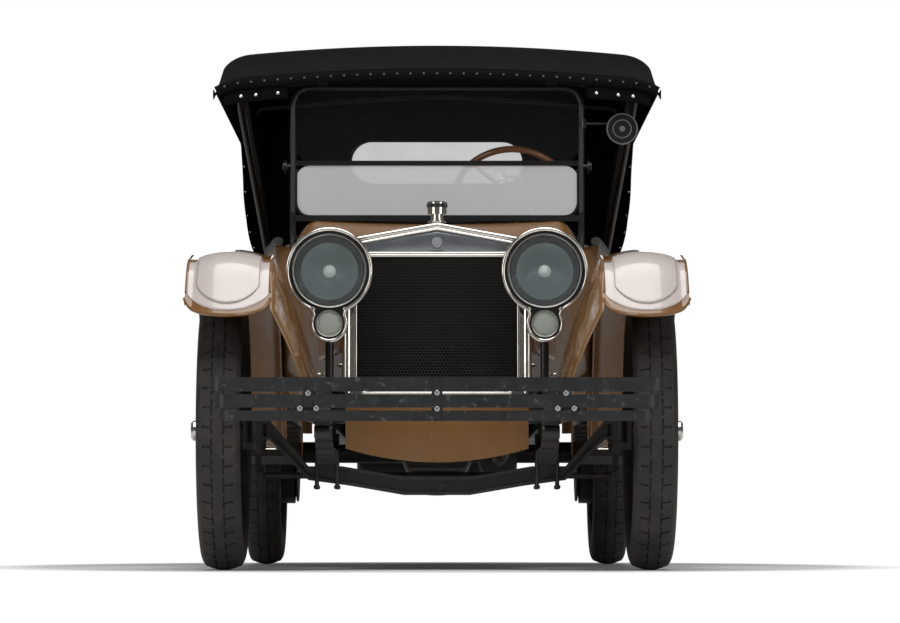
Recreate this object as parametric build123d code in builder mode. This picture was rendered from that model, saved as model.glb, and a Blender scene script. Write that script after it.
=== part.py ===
import os
from math import cos, hypot, radians, sin

from build123d import *

os.makedirs("parts", exist_ok=True)

# Open touring car with its top raised, in millimetres.
# +X is the car's left, +Y runs to the tail, +Z is up, and the ground is Z = 0.

# Driving dimensions
wheelbase = 3454
track = 1422
tyre_radius = 465
tyre_width = 146
rim_radius = 343
front_overhang = 790
rear_overhang = 1010

# Clearances
pin_gap = 0.4
seat_gap = 0.3
swing_gap = 6
glass_gap = 0.3

# Frame and running gear
rail_outer = 390
rail_flange = 45
rail_height = 130
rail_top = 610
rail_wall = 6
kick_up = 100
kingpin_offset = 111
kingpin_half_span = track / 2 - kingpin_offset
kingpin_radius = 12
spindle_radius = 20
spindle_reach = 70
axle_boss_radius = 30
axle_boss_height = 76
spring_width = 57
leaf_thickness = 8
hub_radius = 38
hub_flange_radius = 66
hub_flange_width = 44
hub_cap_radius = 34
hub_cap_reach = 111
spoke_count = 12
drum_radius = 212
tie_rod_setback = 170
tie_rod_level = 318

# Body
sill_level = 620
belt_level = 1190
belt_half = 655
sill_half = 560
body_wall = 30
body_front = 1440
body_back = 3960
body_corner = 260
windscreen_at = 1300
scuttle_front = 1050
scuttle_half = 430
scuttle_top = 1275
windscreen_half = 529
panel_thickness = 4

# Radiator and bonnet
radiator_half = 317
radiator_front = -55
radiator_back = 30
radiator_foot = 560
radiator_shoulder = 1103
radiator_peak = 1160
bonnet_half = 300
bonnet_top = 1150
bonnet_shoulder = 1098
bonnet_sill = 640
bonnet_round = 36

# Wings and boards
wing_inner = 540
wing_outer = 819
wing_sheet = 4
wing_flange = 26
wing_crown = 22
board_level = 425
board_thickness = 25

# Lamps, bumper and windscreen
lamp_spread = 355
lamp_level = 985
lamp_face = -250
lamp_radius = 142
lamp_lens_radius = 119
small_lamp_level = 811
small_lamp_radius = 61
small_lens_radius = 42
bumper_sheet = 9
screen_bottom = 1279
screen_split = 1480
screen_top = 1769
screen_tube = 11

# Folding top
top_front = 1190
top_back = 3960
top_sheet = 10
header_half = 808
eave_level = 1740
bow_pivot_at = 2960
bow_pivot_level = 1235
bow_radius = 13

front_axle_y = front_overhang - (front_overhang + wheelbase + rear_overhang) / 2
rear_axle_y = front_axle_y + wheelbase
wheel_x = track / 2


def aft(distance):
    """Station along the car, measured back from the front axle."""
    return front_axle_y + distance


def side_plane(x):
    """Plane across the car at x, drawn with local x = Y and local y = Z."""
    return Plane(origin=(x, 0, 0), x_dir=(0, 1, 0), z_dir=(1, 0, 0))


def front_plane(y):
    """Plane at station y, drawn with local x = X and local y = Z, facing the nose."""
    return Plane(origin=(0, y, 0), x_dir=(1, 0, 0), z_dir=(0, -1, 0))


def axial_plane(side, y, level):
    """Plane through a wheel's axis: local x runs outboard along it, local y is up."""
    return Plane(origin=(side * wheel_x, y, level), x_dir=(side, 0, 0), z_dir=(0, -side, 0))


# Chassis frame: two channel side rails swept up over the rear axle, and cross members
rail_bottom = rail_top - rail_height
front_seat_level = 346
front_leaves = [500, 420, 340, 250, 160]
front_rise = 62
eye_radius = 20
horn_level = front_seat_level + len(front_leaves) * leaf_thickness + front_rise + eye_radius
drive_level = 500
horn_front = aft(-545)
rail_rear = aft(4180)
carrier_front = rail_rear - 10
carrier_arm_x = 170
carrier_level = 640
rail_outline = [
    (horn_front, horn_level),
    (aft(-470), horn_level),
    (aft(-330), rail_bottom),
    (aft(2650), rail_bottom),
    (aft(2950), rail_bottom + kick_up),
    (aft(3950), rail_bottom + kick_up),
    (rail_rear, rail_bottom + kick_up),
    (rail_rear, rail_top + kick_up - 20),
    (aft(3950), rail_top + kick_up - 5),
    (aft(2950), rail_top + kick_up - 5),
    (aft(2650), rail_top - 5),
    (aft(-250), rail_top - 5),
    (horn_front, horn_level + 34),
]
# Cross members: station, depth along the car, bottom, top
cross_members = [
    (-12, 84, rail_bottom + 10, radiator_foot),
    (1400, 60, drive_level + 50, rail_top - 15),
    (1960, 60, drive_level + 50, rail_top - 15),
    (2760, 60, drive_level + 60, rail_top + 15),
    (4140, 60, rail_bottom + kick_up + 5, rail_top + kick_up - 30),
]
# Blocks that carry the body on the rails: station, bottom, top
floor_level = sill_level + 2
rear_floor_level = rail_top + kick_up + 2
body_blocks = [
    (1200, rail_top - 5, floor_level),
    (1750, rail_top - 5, floor_level),
    (2350, rail_top - 5, floor_level),
    (3050, rail_top + kick_up - 5, rear_floor_level),
    (3800, rail_top + kick_up - 5, rear_floor_level),
]
with BuildPart() as chassis_frame:
    with BuildSketch(side_plane(rail_outer - rail_flange)):
        with BuildLine():
            Polyline(rail_outline, close=True)
        make_face()
    extrude(amount=rail_flange)
    with BuildSketch(side_plane(rail_outer - rail_flange)):
        with BuildLine():
            Polyline(rail_outline, close=True)
        make_face()
        offset(amount=-2 * rail_wall, kind=Kind.INTERSECTION, mode=Mode.REPLACE)
    extrude(amount=rail_flange - rail_wall, mode=Mode.SUBTRACT)
    mirror(about=Plane.YZ)
    for station, depth, low, high in cross_members:
        with BuildSketch(front_plane(aft(station) + depth / 2)):
            with Locations((0, (low + high) / 2)):
                Rectangle(2 * rail_outer - rail_wall, high - low)
        extrude(amount=depth)
    for station, low, high in body_blocks:
        with Locations(*[(s * (rail_outer - rail_flange / 2), aft(station), low) for s in (-1, 1)]):
            Box(rail_flange, 60, high - low, align=(Align.CENTER, Align.CENTER, Align.MIN))
chassis_frame.part.label = "chassis_frame"
export_step(chassis_frame.part, "parts/chassis_frame.step")

# Front axle: dropped I-beam with a vertical boss at each end for the kingpin
spring_x = rail_outer - rail_flange / 2
beam_depth = 56
beam_kick = 170
beam_outline = [
    (-kingpin_half_span, tyre_radius - 30),
    (40 - kingpin_half_span, tyre_radius - 30),
    (beam_kick - kingpin_half_span, 300),
    (-290, 281),
    (-110, 250),
    (110, 250),
    (290, 281),
    (kingpin_half_span - beam_kick, 300),
    (kingpin_half_span - 40, tyre_radius - 30),
    (kingpin_half_span, tyre_radius - 30),
    (kingpin_half_span, tyre_radius + 34),
    (kingpin_half_span - 40, tyre_radius + 34),
    (kingpin_half_span - beam_kick, front_seat_level),
    (spring_x - 50, front_seat_level),
    (110, 310),
    (-110, 310),
    (50 - spring_x, front_seat_level),
    (beam_kick - kingpin_half_span, front_seat_level),
    (40 - kingpin_half_span, tyre_radius + 34),
    (-kingpin_half_span, tyre_radius + 34),
]
with BuildPart() as front_axle:
    with BuildSketch(front_plane(front_axle_y + beam_depth / 2)):
        with BuildLine():
            Polyline(beam_outline, close=True)
        make_face()
    extrude(amount=beam_depth)
    for face_y, inward in ((front_axle_y - beam_depth / 2, -1), (front_axle_y + beam_depth / 2, 1)):
        with BuildSketch(front_plane(face_y)):
            with BuildLine():
                Polyline(beam_outline, close=True)
            make_face()
            offset(amount=-11, kind=Kind.INTERSECTION, mode=Mode.REPLACE)
        extrude(amount=inward * (beam_depth / 2 - 8), mode=Mode.SUBTRACT)
    with Locations(*[(s * kingpin_half_span, front_axle_y, tyre_radius) for s in (-1, 1)]):
        Cylinder(axle_boss_radius, axle_boss_height)
        Cylinder(kingpin_radius + pin_gap, axle_boss_height, mode=Mode.SUBTRACT)
front_axle.part.label = "front_axle"
export_step(front_axle.part, "parts/front_axle.step")


def leaf_spring(part_x, centre_y, seat, half_lengths, rise):
    """Stack of curved leaves, longest on top, clamped to its seat, with an eye at each end."""
    stack = leaf_thickness * len(half_lengths)
    bend = (half_lengths[0] ** 2 + rise**2) / (2 * rise)
    with BuildPart() as spring:
        for index, half in enumerate(half_lengths):
            low = seat + stack - (index + 1) * leaf_thickness
            high = low + leaf_thickness
            lift = bend - (bend**2 - half**2) ** 0.5
            with BuildSketch(side_plane(part_x - spring_width / 2)):
                with BuildLine():
                    ThreePointArc((centre_y - half, low + lift), (centre_y, low),
                                  (centre_y + half, low + lift))
                    Line((centre_y + half, low + lift), (centre_y + half, high + lift))
                    ThreePointArc((centre_y + half, high + lift), (centre_y, high),
                                  (centre_y - half, high + lift))
                    Line((centre_y - half, high + lift), (centre_y - half, low + lift))
                make_face()
            extrude(amount=spring_width)
        with Locations(*[(part_x, centre_y + end * half_lengths[0], seat + stack + rise) for end in (-1, 1)]):
            Cylinder(eye_radius, spring_width, rotation=(0, 90, 0))
        with Locations((part_x, centre_y, seat)):
            Box(spring_width + 14, 130, stack + 14, align=(Align.CENTER, Align.CENTER, Align.MIN))
    return spring.part


# Leaf springs: station, seat level, half lengths of the leaves, rise of the ends, centre x
rear_spring_x = 470
rear_seat_level = tyre_radius + 52
spring_table = [
    (front_axle_y, front_seat_level, front_leaves, front_rise, spring_x),
    (rear_axle_y, rear_seat_level, [640, 550, 450, 350, 250, 150], 60, rear_spring_x),
]
springs = [
    leaf_spring(side * centre_x, station, seat, half_lengths, rise)
    for station, seat, half_lengths, rise, centre_x in spring_table
    for side in (-1, 1)
]
with BuildPart() as leaf_springs:
    add(springs)
    for side in (-1, 1):
        with Locations((side * spring_x, front_axle_y + 500, rail_bottom)):
            Box(spring_width - 20, 34, 60, align=(Align.CENTER, Align.CENTER, Align.MAX))
leaf_springs.part.label = "leaf_springs"
export_step(leaf_springs.part, "parts/leaf_springs.step")

# Rear axle: banjo casing, half shafts, brake back plates and the torque tube to the gearbox
back_plate_x = wheel_x - 119 - 7
gearbox_back = aft(1330)
with BuildPart() as rear_axle:
    with Locations((0, rear_axle_y, tyre_radius)):
        Cylinder(44, 2 * back_plate_x, rotation=(0, 90, 0))
        Sphere(150)
        Cylinder(spindle_radius, 2 * (wheel_x + spindle_reach), rotation=(0, 90, 0))
    with Locations(*[(s * (back_plate_x - 4), rear_axle_y, tyre_radius) for s in (-1, 1)]):
        Cylinder(drum_radius - 8, 8, rotation=(0, 90, 0))
    with BuildSketch(Plane(origin=(0, gearbox_back + 1, drive_level), x_dir=(1, 0, 0),
                           z_dir=(0, rear_axle_y - gearbox_back - 1, tyre_radius - drive_level))):
        Circle(42)
    extrude(amount=hypot(rear_axle_y - gearbox_back - 1, tyre_radius - drive_level))
    for side in (-1, 1):
        with Locations((side * rear_spring_x, rear_axle_y, tyre_radius)):
            Box(spring_width + 14, 130, 52, align=(Align.CENTER, Align.CENTER, Align.MIN))
rear_axle.part.label = "rear_axle"
export_step(rear_axle.part, "parts/rear_axle.step")

# Engine, clutch housing and gearbox as one plain heavy block, with its oil pan
with BuildPart() as engine_block:
    with BuildSketch(front_plane(aft(900))):
        with BuildLine():
            Polyline([(-150, 470), (-95, 345), (95, 345), (150, 470), (150, 960), (-150, 960)], close=True)
        make_face()
    extrude(amount=700)
    with Locations((0, aft(900), drive_level + 20)):
        Cylinder(165, 120, rotation=(-90, 0, 0), align=(Align.CENTER, Align.CENTER, Align.MIN))
        Box(220, gearbox_back - aft(900), 200, align=(Align.CENTER, Align.MIN, Align.CENTER))
    with Locations((0, aft(300), 560)):
        Box(2 * (rail_outer - rail_flange), 60, 50)
engine_block.part.label = "engine_block"
export_step(engine_block.part, "parts/engine_block.step")

# Exhaust pipe under the left of the floor, with its silencer
exhaust_x = 230
exhaust_level = 400
with BuildPart() as exhaust:
    with BuildLine():
        exhaust_run = FilletPolyline(
            (150 + 1, aft(500), 620),
            (exhaust_x, aft(500), 620),
            (exhaust_x, aft(760), exhaust_level),
            (exhaust_x, aft(3000), exhaust_level),
            radius=(40, 60),
        )
    with BuildSketch(Plane(origin=exhaust_run @ 0, z_dir=exhaust_run % 0)):
        Circle(25)
    sweep()
    with Locations((exhaust_x, aft(1960), exhaust_level)):
        Cylinder(70, 620, rotation=(-90, 0, 0))
        Box(24, 30, drive_level + 50 - exhaust_level, align=(Align.CENTER, Align.CENTER, Align.MIN))
exhaust.part.label = "exhaust"
export_step(exhaust.part, "parts/exhaust.step")

# Fuel tank slung across the tail between the rails
tank_radius = 125
tank_at = 4020
with BuildPart() as fuel_tank:
    with Locations((0, aft(tank_at), rail_bottom + 10)):
        Cylinder(tank_radius, 2 * (rail_outer - rail_flange) - 2, rotation=(0, 90, 0))
    fillet(fuel_tank.edges().filter_by(GeomType.CIRCLE), radius=25)
fuel_tank.part.label = "fuel_tank"
export_step(fuel_tank.part, "parts/fuel_tank.step")


def peaked_outline(half, foot, shoulder, peak, rounding, foot_half=None):
    """Section shared by radiator, bonnet and scuttle: near upright sides and a peaked top."""
    low = half if foot_half is None else foot_half
    with BuildSketch() as outline:
        with BuildLine():
            Polyline([(-low, foot), (low, foot), (half, shoulder), (0, peak), (-half, shoulder)], close=True)
        make_face()
        fillet(outline.vertices().sort_by(Axis.Y)[2:4], radius=rounding)
    return outline.sketch


# Radiator shell: nickelled surround with a peaked top tank panel and filler neck
core_half = 268
core_foot = 592
core_head = 1045
neck_radius = 21
with BuildPart() as radiator_shell:
    with BuildSketch(front_plane(aft(radiator_back))):
        add(peaked_outline(radiator_half, radiator_foot, radiator_shoulder, radiator_peak, 70))
    extrude(amount=radiator_back - radiator_front)
    front_edges = radiator_shell.edges().group_by(Axis.Y)[0]
    fillet(front_edges, radius=14)
    with BuildSketch(front_plane(aft(radiator_back))):
        with Locations((0, (core_foot + core_head) / 2)):
            RectangleRounded(2 * core_half, core_head - core_foot, 34)
    extrude(amount=radiator_back - radiator_front, mode=Mode.SUBTRACT)
    with BuildSketch(front_plane(aft(radiator_front))):
        with BuildLine():
            Polyline([(-core_half, 1058), (core_half, 1058), (core_half, 1088), (0, 1136),
                      (-core_half, 1088)], close=True)
        make_face()
    extrude(amount=-5, mode=Mode.SUBTRACT)
    with Locations((0, aft((radiator_front + radiator_back) / 2), radiator_peak - 30)):
        Cylinder(neck_radius, 60, align=(Align.CENTER, Align.CENTER, Align.MIN))
    with Locations((0, aft((radiator_front + radiator_back) / 2), radiator_peak + 30)):
        Cylinder(32, 37, align=(Align.CENTER, Align.CENTER, Align.MIN))
radiator_shell.part.label = "radiator_shell"
export_step(radiator_shell.part, "parts/radiator_shell.step")

# Radiator core: block of tubes and fins seated in the shell's opening
core_gap = 0.2
with BuildPart() as radiator_core:
    with BuildSketch(front_plane(aft(radiator_back - 5))):
        with Locations((0, (core_foot + core_head) / 2)):
            RectangleRounded(2 * (core_half - core_gap), core_head - core_foot - 2 * core_gap, 34 - core_gap)
    extrude(amount=radiator_back - radiator_front - 24)
radiator_core.part.label = "radiator_core"
export_step(radiator_core.part, "parts/radiator_core.step")

# Front bumper: three flat bars with curled ends, a centre strap and two brackets to the frame horns
bumper_front = aft(-front_overhang)
# Bars: bottom, top, half length
bumper_bars = [(475, 508, 690), (517, 559, 706), (568, 613, 722)]
bracket_x = 407
with BuildPart() as front_bumper:
    for low, high, half in bumper_bars:
        for side in (-1, 1):
            with BuildSketch(Plane.XY.offset(low)):
                with BuildLine():
                    curl = Polyline((0, bumper_front + bumper_sheet / 2),
                                    (side * (half - 40), bumper_front + bumper_sheet / 2))
                    JernArc(start=curl @ 1, tangent=(side, 0), radius=40 - bumper_sheet / 2,
                            arc_size=side * 150)
                trace(line_width=bumper_sheet)
            extrude(amount=high - low)
    for strap_x in (-bracket_x, 0, bracket_x):
        with Locations((strap_x, bumper_front + bumper_sheet, 475)):
            Box(34, bumper_sheet, 613 - 475, align=(Align.CENTER, Align.MIN, Align.MIN))
    for side in (-1, 1):
        with BuildSketch(Plane.XY.offset(475)):
            with BuildLine():
                Polyline([(side * (bracket_x - 8), bumper_front + bumper_sheet),
                          (side * (bracket_x + 8), bumper_front + bumper_sheet),
                          (side * (rail_outer + 12), horn_front + 5),
                          (side * (rail_outer + 12), horn_front + 160),
                          (side * rail_outer, horn_front + 160),
                          (side * rail_outer, horn_front)], close=True)
            make_face()
        extrude(amount=50)
front_bumper.part.label = "front_bumper"
export_step(front_bumper.part, "parts/front_bumper.step")

# Headlamps: drum lamp and small lamp in one keyhole rim, each pair on a post from the frame horn
rim_depth = 22
drum_length = 150
post_radius = 14
lamp_back = lamp_face + rim_depth


def keyhole(upper_radius, lower_radius, neck_round):
    """Two lamp circles with their crossing corners rounded into a keyhole."""
    with BuildSketch() as outline:
        with Locations((0, lamp_level)):
            Circle(upper_radius)
        with Locations((0, small_lamp_level)):
            Circle(lower_radius)
        crossings = outline.vertices().filter_by_position(Axis.Y, small_lamp_level, lamp_level,
                                                          (False, False))
        fillet(crossings, radius=neck_round)
    return outline.sketch


with BuildPart() as headlamps:
    for side in (-1, 1):
        lamp_x = side * lamp_spread
        with BuildSketch(Plane(origin=(lamp_x, aft(lamp_back), 0), x_dir=(1, 0, 0), z_dir=(0, -1, 0))):
            add(keyhole(lamp_radius, small_lamp_radius, 24))
        extrude(amount=rim_depth)
        with BuildSketch(Plane(origin=(lamp_x, aft(lamp_back), lamp_level), x_dir=(0, 1, 0),
                               z_dir=(1, 0, 0))):
            with BuildLine():
                Line((0, 0), (0, lamp_radius - 10))
                Line((0, lamp_radius - 10), (60, lamp_radius - 12))
                ThreePointArc((60, lamp_radius - 12), (122, 92), (drum_length, 24))
                Line((drum_length, 24), (drum_length, 0))
                Line((drum_length, 0), (0, 0))
            make_face()
        revolve(axis=Axis((lamp_x, 0, lamp_level), (0, 1, 0)))
        with BuildSketch(Plane(origin=(lamp_x, aft(lamp_back), small_lamp_level), x_dir=(0, 1, 0),
                               z_dir=(1, 0, 0))):
            with BuildLine():
                Line((0, 0), (0, small_lamp_radius - 6))
                Line((0, small_lamp_radius - 6), (35, small_lamp_radius - 8))
                ThreePointArc((35, small_lamp_radius - 8), (64, 34), (78, 12))
                Line((78, 12), (78, 0))
                Line((78, 0), (0, 0))
            make_face()
        revolve(axis=Axis((lamp_x, 0, small_lamp_level), (0, 1, 0)))
        for level, bore, depth in ((lamp_level, lamp_lens_radius, 95),
                                   (small_lamp_level, small_lens_radius, 55)):
            with Locations((lamp_x, aft(lamp_face), level)):
                Cone(bore, bore * 0.45, depth, rotation=(-90, 0, 0),
                     align=(Align.CENTER, Align.CENTER, Align.MIN), mode=Mode.SUBTRACT)
        with Locations((lamp_x, aft(lamp_back + 40), rail_top - 5)):
            Cylinder(post_radius, small_lamp_level - rail_top - 20,
                     align=(Align.CENTER, Align.CENTER, Align.MIN))
        with Locations((lamp_x, aft(lamp_back + 40), rail_top - 5)):
            Cylinder(30, 10, align=(Align.CENTER, Align.CENTER, Align.MIN))
headlamps.part.label = "headlamps"
export_step(headlamps.part, "parts/headlamps.step")

# Lamp glasses, seated just inside the rim
lens_thickness = 5
with BuildPart() as headlamp_lenses:
    for side in (-1, 1):
        for level, bore in ((lamp_level, lamp_lens_radius), (small_lamp_level, small_lens_radius)):
            with Locations((side * lamp_spread, aft(lamp_face), level)):
                Cylinder(bore - 5, lens_thickness, rotation=(-90, 0, 0),
                         align=(Align.CENTER, Align.CENTER, Align.MIN))
headlamp_lenses.part.label = "headlamp_lenses"
export_step(headlamp_lenses.part, "parts/headlamp_lenses.step")


wing_half = (wing_outer - wing_inner) / 2


def wing_profile(half):
    """Crowned sheet with flat flanges: local x runs across the wing, y away from the wheel."""
    shoulder = half - wing_flange
    with BuildSketch() as profile:
        with BuildLine():
            Line((-half, 0), (-shoulder, 0))
            ThreePointArc((-shoulder, 0), (0, wing_crown), (shoulder, 0))
            Polyline([(shoulder, 0), (half, 0), (half, -wing_sheet), (shoulder, -wing_sheet)])
            ThreePointArc((shoulder, -wing_sheet), (0, wing_crown - wing_sheet), (-shoulder, -wing_sheet))
            Polyline([(-shoulder, -wing_sheet), (-half, -wing_sheet), (-half, 0)])
        make_face()
    return profile.sketch


# Front wings: crowned sheets over the wheels that sweep down to the running boards
board_front = aft(1010)
front_wing_points = [
    (aft(-505), 812),
    (aft(-330), 1010),
    (aft(-60), 1072 - wing_crown),
    (aft(220), 1040 - wing_crown),
    (aft(520), 800),
    (aft(820), board_level),
    (board_front, board_level),
]
front_wing_rounds = (300, 500, 380, 520, 300)
wing_middle = (wing_inner + wing_outer) / 2
with BuildPart() as front_wings:
    for side in (-1, 1):
        with BuildLine(side_plane(side * wing_middle)) as front_line:
            FilletPolyline(*front_wing_points, radius=front_wing_rounds)
        front_path = front_line.wires()[0]
        with BuildSketch(Plane(origin=front_path @ 0, x_dir=(-1, 0, 0), z_dir=front_path % 0)):
            add(wing_profile(wing_half))
        sweep(path=front_path)
front_wings.part.label = "front_wings"
export_step(front_wings.part, "parts/front_wings.step")

# Running boards on each side between the wings
board_back = rear_axle_y - 820
board_inner = wing_inner + 6
board_hole_radius = 4.5
board_hole_across = 150
board_hole_along = 600
with BuildPart() as running_boards:
    for side in (-1, 1):
        with Locations((side * (board_inner + wing_outer) / 2, (board_front + board_back) / 2, board_level)):
            Box(wing_outer - board_inner, board_back - board_front - 2 * seat_gap, board_thickness,
                align=(Align.CENTER, Align.CENTER, Align.MAX))
            with GridLocations(board_hole_across, board_hole_along, 2, 2):
                Cylinder(board_hole_radius, board_thickness, align=(Align.CENTER, Align.CENTER, Align.MAX),
                         mode=Mode.SUBTRACT)
running_boards.part.label = "running_boards"
export_step(running_boards.part, "parts/running_boards.step")


def body_half(level):
    """Half width of the body sides, which lean out from sill to belt."""
    return sill_half + (belt_half - sill_half) * (level - sill_level) / (belt_level - sill_level)


def body_form(inset, front_cut=0):
    """Body block between sill and belt, taken in by an inset: leaning sides and a rounded tail."""
    with BuildPart() as form:
        for level in (sill_level, belt_level):
            half = body_half(level) - inset
            tail = aft(body_back) - inset
            nose = aft(body_front) - front_cut
            nose_half = half - nose_taper * (1 + front_cut / (widest_at - body_front))
            with BuildSketch(Plane.XY.offset(level)) as plan:
                with BuildLine():
                    Polyline([(-nose_half, nose), (nose_half, nose), (half, aft(widest_at)), (half, tail),
                              (-half, tail), (-half, aft(widest_at))], close=True)
                make_face()
                fillet(plan.vertices().sort_by(Axis.Y)[-2:], radius=body_corner - inset)
                fillet(plan.vertices().sort_by(Axis.Y)[2:4], radius=side_sweep)
        loft(ruled=True)
    return form.part


# Body tub: leaning sides round the seats, open at the front where the scuttle joins it
nose_taper = 55
widest_at = 1950
side_sweep = 1500
tail_cut_half = rail_outer + 15
# Doors: name, front edge, back edge
door_bottom = 690
door_round = 60
door_table = [("front", 1500, 2000), ("rear", 2340, 2830)]
body_outer = body_form(0)
body_inner = body_form(body_wall, 30)


def door_outline(front, back, gap):
    """Door opening seen from the side: open above the belt, rounded at its lower corners."""
    with BuildSketch() as outline:
        with BuildLine():
            Polyline([(aft(front) + gap, belt_level + 100), (aft(front) + gap, door_bottom + gap),
                      (aft(back) - gap, door_bottom + gap), (aft(back) - gap, belt_level + 100)], close=True)
        make_face()
        fillet(outline.vertices().sort_by(Axis.Y)[:2], radius=door_round - gap)
    return outline.sketch


with BuildPart() as body_tub:
    add(body_outer)
    add(body_inner, mode=Mode.SUBTRACT)
    for door_name, front, back in door_table:
        with BuildSketch(side_plane(-belt_half - 50)):
            add(door_outline(front, back, 0))
        extrude(amount=2 * belt_half + 100, mode=Mode.SUBTRACT)
    with Locations((0, aft(body_back), rear_floor_level)):
        Box(2 * tail_cut_half, 6 * body_wall, 200, align=(Align.CENTER, Align.CENTER, Align.MAX),
            mode=Mode.SUBTRACT)
body_tub.part.label = "body_tub"
export_step(body_tub.part, "parts/body_tub.step")

# Four doors cut from the same leaning sides
for door_name, front, back in door_table:
    for side_name, side in (("left", 1), ("right", -1)):
        with BuildPart() as door:
            add(body_outer)
            add(body_inner, mode=Mode.SUBTRACT)
            with BuildSketch(side_plane(side * (sill_half - 100))):
                add(door_outline(front, back, swing_gap))
            extrude(amount=side * 300, mode=Mode.INTERSECT)
        door.part.label = f"door_{door_name}_{side_name}"
        export_step(door.part, f"parts/door_{door_name}_{side_name}.step")

# Rear wings: crowned sheets that rise from the running boards and close on the body sides
rear_wing_points = [
    (board_back, board_level),
    (rear_axle_y - 650, board_level),
    (rear_axle_y - 560, 800),
    (rear_axle_y - 250, 1060 - wing_crown),
    (rear_axle_y + 200, 1075 - wing_crown),
    (rear_axle_y + 520, 860),
    (rear_axle_y + 600, 560),
]
rear_wing_rounds = (120, 400, 420, 420, 250)
with BuildPart() as rear_wings:
    for side in (-1, 1):
        with BuildLine(side_plane(side * wing_middle)) as rear_line:
            FilletPolyline(*rear_wing_points, radius=rear_wing_rounds)
        rear_path = rear_line.wires()[0]
        with BuildSketch(Plane(origin=rear_path @ 0, x_dir=(-1, 0, 0), z_dir=rear_path % 0)):
            add(wing_profile(wing_half))
        sweep(path=rear_path)
    add(body_form(-seat_gap), mode=Mode.SUBTRACT)
rear_wings.part.label = "rear_wings"
export_step(rear_wings.part, "parts/rear_wings.step")

# Aprons: side covers between rails and boards, front apron, and valances from wings to rails
apron_sheet = 4
apron_top = rail_top - 6
board_foot = board_level - board_thickness
with BuildPart() as splash_aprons:
    with BuildSketch(front_plane(board_back)):
        with BuildLine():
            Polyline([(rail_outer + seat_gap, apron_top), (rail_outer + seat_gap, apron_top - apron_sheet),
                      (wing_inner, apron_top - apron_sheet), (wing_inner, board_foot),
                      (wing_inner + apron_sheet, board_foot),
                      (wing_inner + apron_sheet, apron_top)], close=True)
        make_face()
    extrude(amount=board_back - board_front)
    mirror(about=Plane.YZ)
    with BuildSketch(front_plane(aft(radiator_front) + 1)):
        with BuildLine():
            Polyline([(-305, 404), (-305, radiator_foot - 2), (305, radiator_foot - 2), (305, 404)])
            ThreePointArc((305, 404), (0, 358), (-305, 404))
        make_face()
    extrude(amount=apron_sheet)
splash_aprons.part.label = "splash_aprons"
export_step(splash_aprons.part, "parts/splash_aprons.step")

# Scuttle: sheet cowl from the bonnet's back edge out to the body sides, with its firewall
# Sections: station, foot half width, half width, shoulder, peak, rounding
scuttle_sections = [
    (scuttle_front, scuttle_half, scuttle_half, bonnet_shoulder, bonnet_top, bonnet_round),
    (windscreen_at + 25, 470, 515, belt_level, scuttle_top, 50),
    (body_front, sill_half - nose_taper, belt_half - nose_taper, belt_level, scuttle_top, 70),
]
column_slope = 38
steer_x = 285
steer_centre = (steer_x, aft(1900), 1408)
column_plane = Plane(origin=steer_centre, x_dir=(1, 0, 0),
                     z_dir=(0, cos(radians(column_slope)), sin(radians(column_slope))))
firewall = 12
cockpit_front = 1365


def scuttle_form(inset):
    """Scuttle block through its three sections, taken in by an inset and left long at the foot."""
    with BuildPart() as form:
        for station, foot_half, half, shoulder, peak, rounding in scuttle_sections:
            with BuildSketch(front_plane(aft(station))):
                add(peaked_outline(half - inset, sill_level - (1 if inset else 0), shoulder - inset,
                                   peak - inset, rounding - inset, foot_half - inset))
        loft(ruled=True)
    return form.part


with BuildPart() as scuttle:
    add(scuttle_form(0))
    add(scuttle_form(panel_thickness), mode=Mode.SUBTRACT)
    with BuildSketch(front_plane(aft(scuttle_front) + firewall)):
        add(peaked_outline(scuttle_half - 1, sill_level, bonnet_shoulder - 1, bonnet_top - 1, bonnet_round))
    extrude(amount=firewall)
    with BuildSketch(side_plane(-belt_half)):
        with BuildLine():
            Polyline([(aft(cockpit_front), belt_level), (aft(cockpit_front), belt_level + 200),
                      (aft(body_front) + 50, belt_level + 200),
                      (aft(body_front) + 50, belt_level)], close=True)
        make_face()
    extrude(amount=2 * belt_half, mode=Mode.SUBTRACT)
    with BuildSketch(column_plane):
        Circle(26)
    extrude(amount=-1200, mode=Mode.SUBTRACT)
scuttle.part.label = "scuttle"
export_step(scuttle.part, "parts/scuttle.step")

# Bonnet: two top panels hinged on the ridge, and two side panels hung from their outer edges
bonnet_front = aft(radiator_back) + swing_gap
bonnet_back = aft(scuttle_front) - swing_gap
bonnet_split = 250


def bonnet_form(inset):
    """Bonnet block between radiator and scuttle, taken in by the panel thickness."""
    with BuildPart() as form:
        for station, half in ((bonnet_front, bonnet_half), (bonnet_back, scuttle_half)):
            with BuildSketch(front_plane(station)):
                add(peaked_outline(half - inset, bonnet_sill - inset, bonnet_shoulder - inset,
                                   bonnet_top - inset, bonnet_round - inset))
        loft(ruled=True)
    return form.part


bonnet_outer = bonnet_form(0)
bonnet_inner = bonnet_form(panel_thickness)
half_gap = swing_gap / 2
# Panels: name, inner x, outer x
bonnet_table = [
    ("top", half_gap, bonnet_split - half_gap),
    ("side", bonnet_split + half_gap, belt_half),
]
for panel_name, inner_x, outer_x in bonnet_table:
    for side_name, side in (("left", 1), ("right", -1)):
        with BuildPart() as bonnet_panel:
            add(bonnet_outer)
            add(bonnet_inner, mode=Mode.SUBTRACT)
            with BuildSketch(front_plane(bonnet_back + 1)):
                with Locations((side * (inner_x + outer_x) / 2, (bonnet_sill + bonnet_top) / 2)):
                    Rectangle(outer_x - inner_x, bonnet_top - bonnet_sill)
            extrude(amount=bonnet_back - bonnet_front + 2, mode=Mode.INTERSECT)
        bonnet_panel.part.label = f"bonnet_{panel_name}_{side_name}"
        export_step(bonnet_panel.part, f"parts/bonnet_{panel_name}_{side_name}.step")

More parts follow.
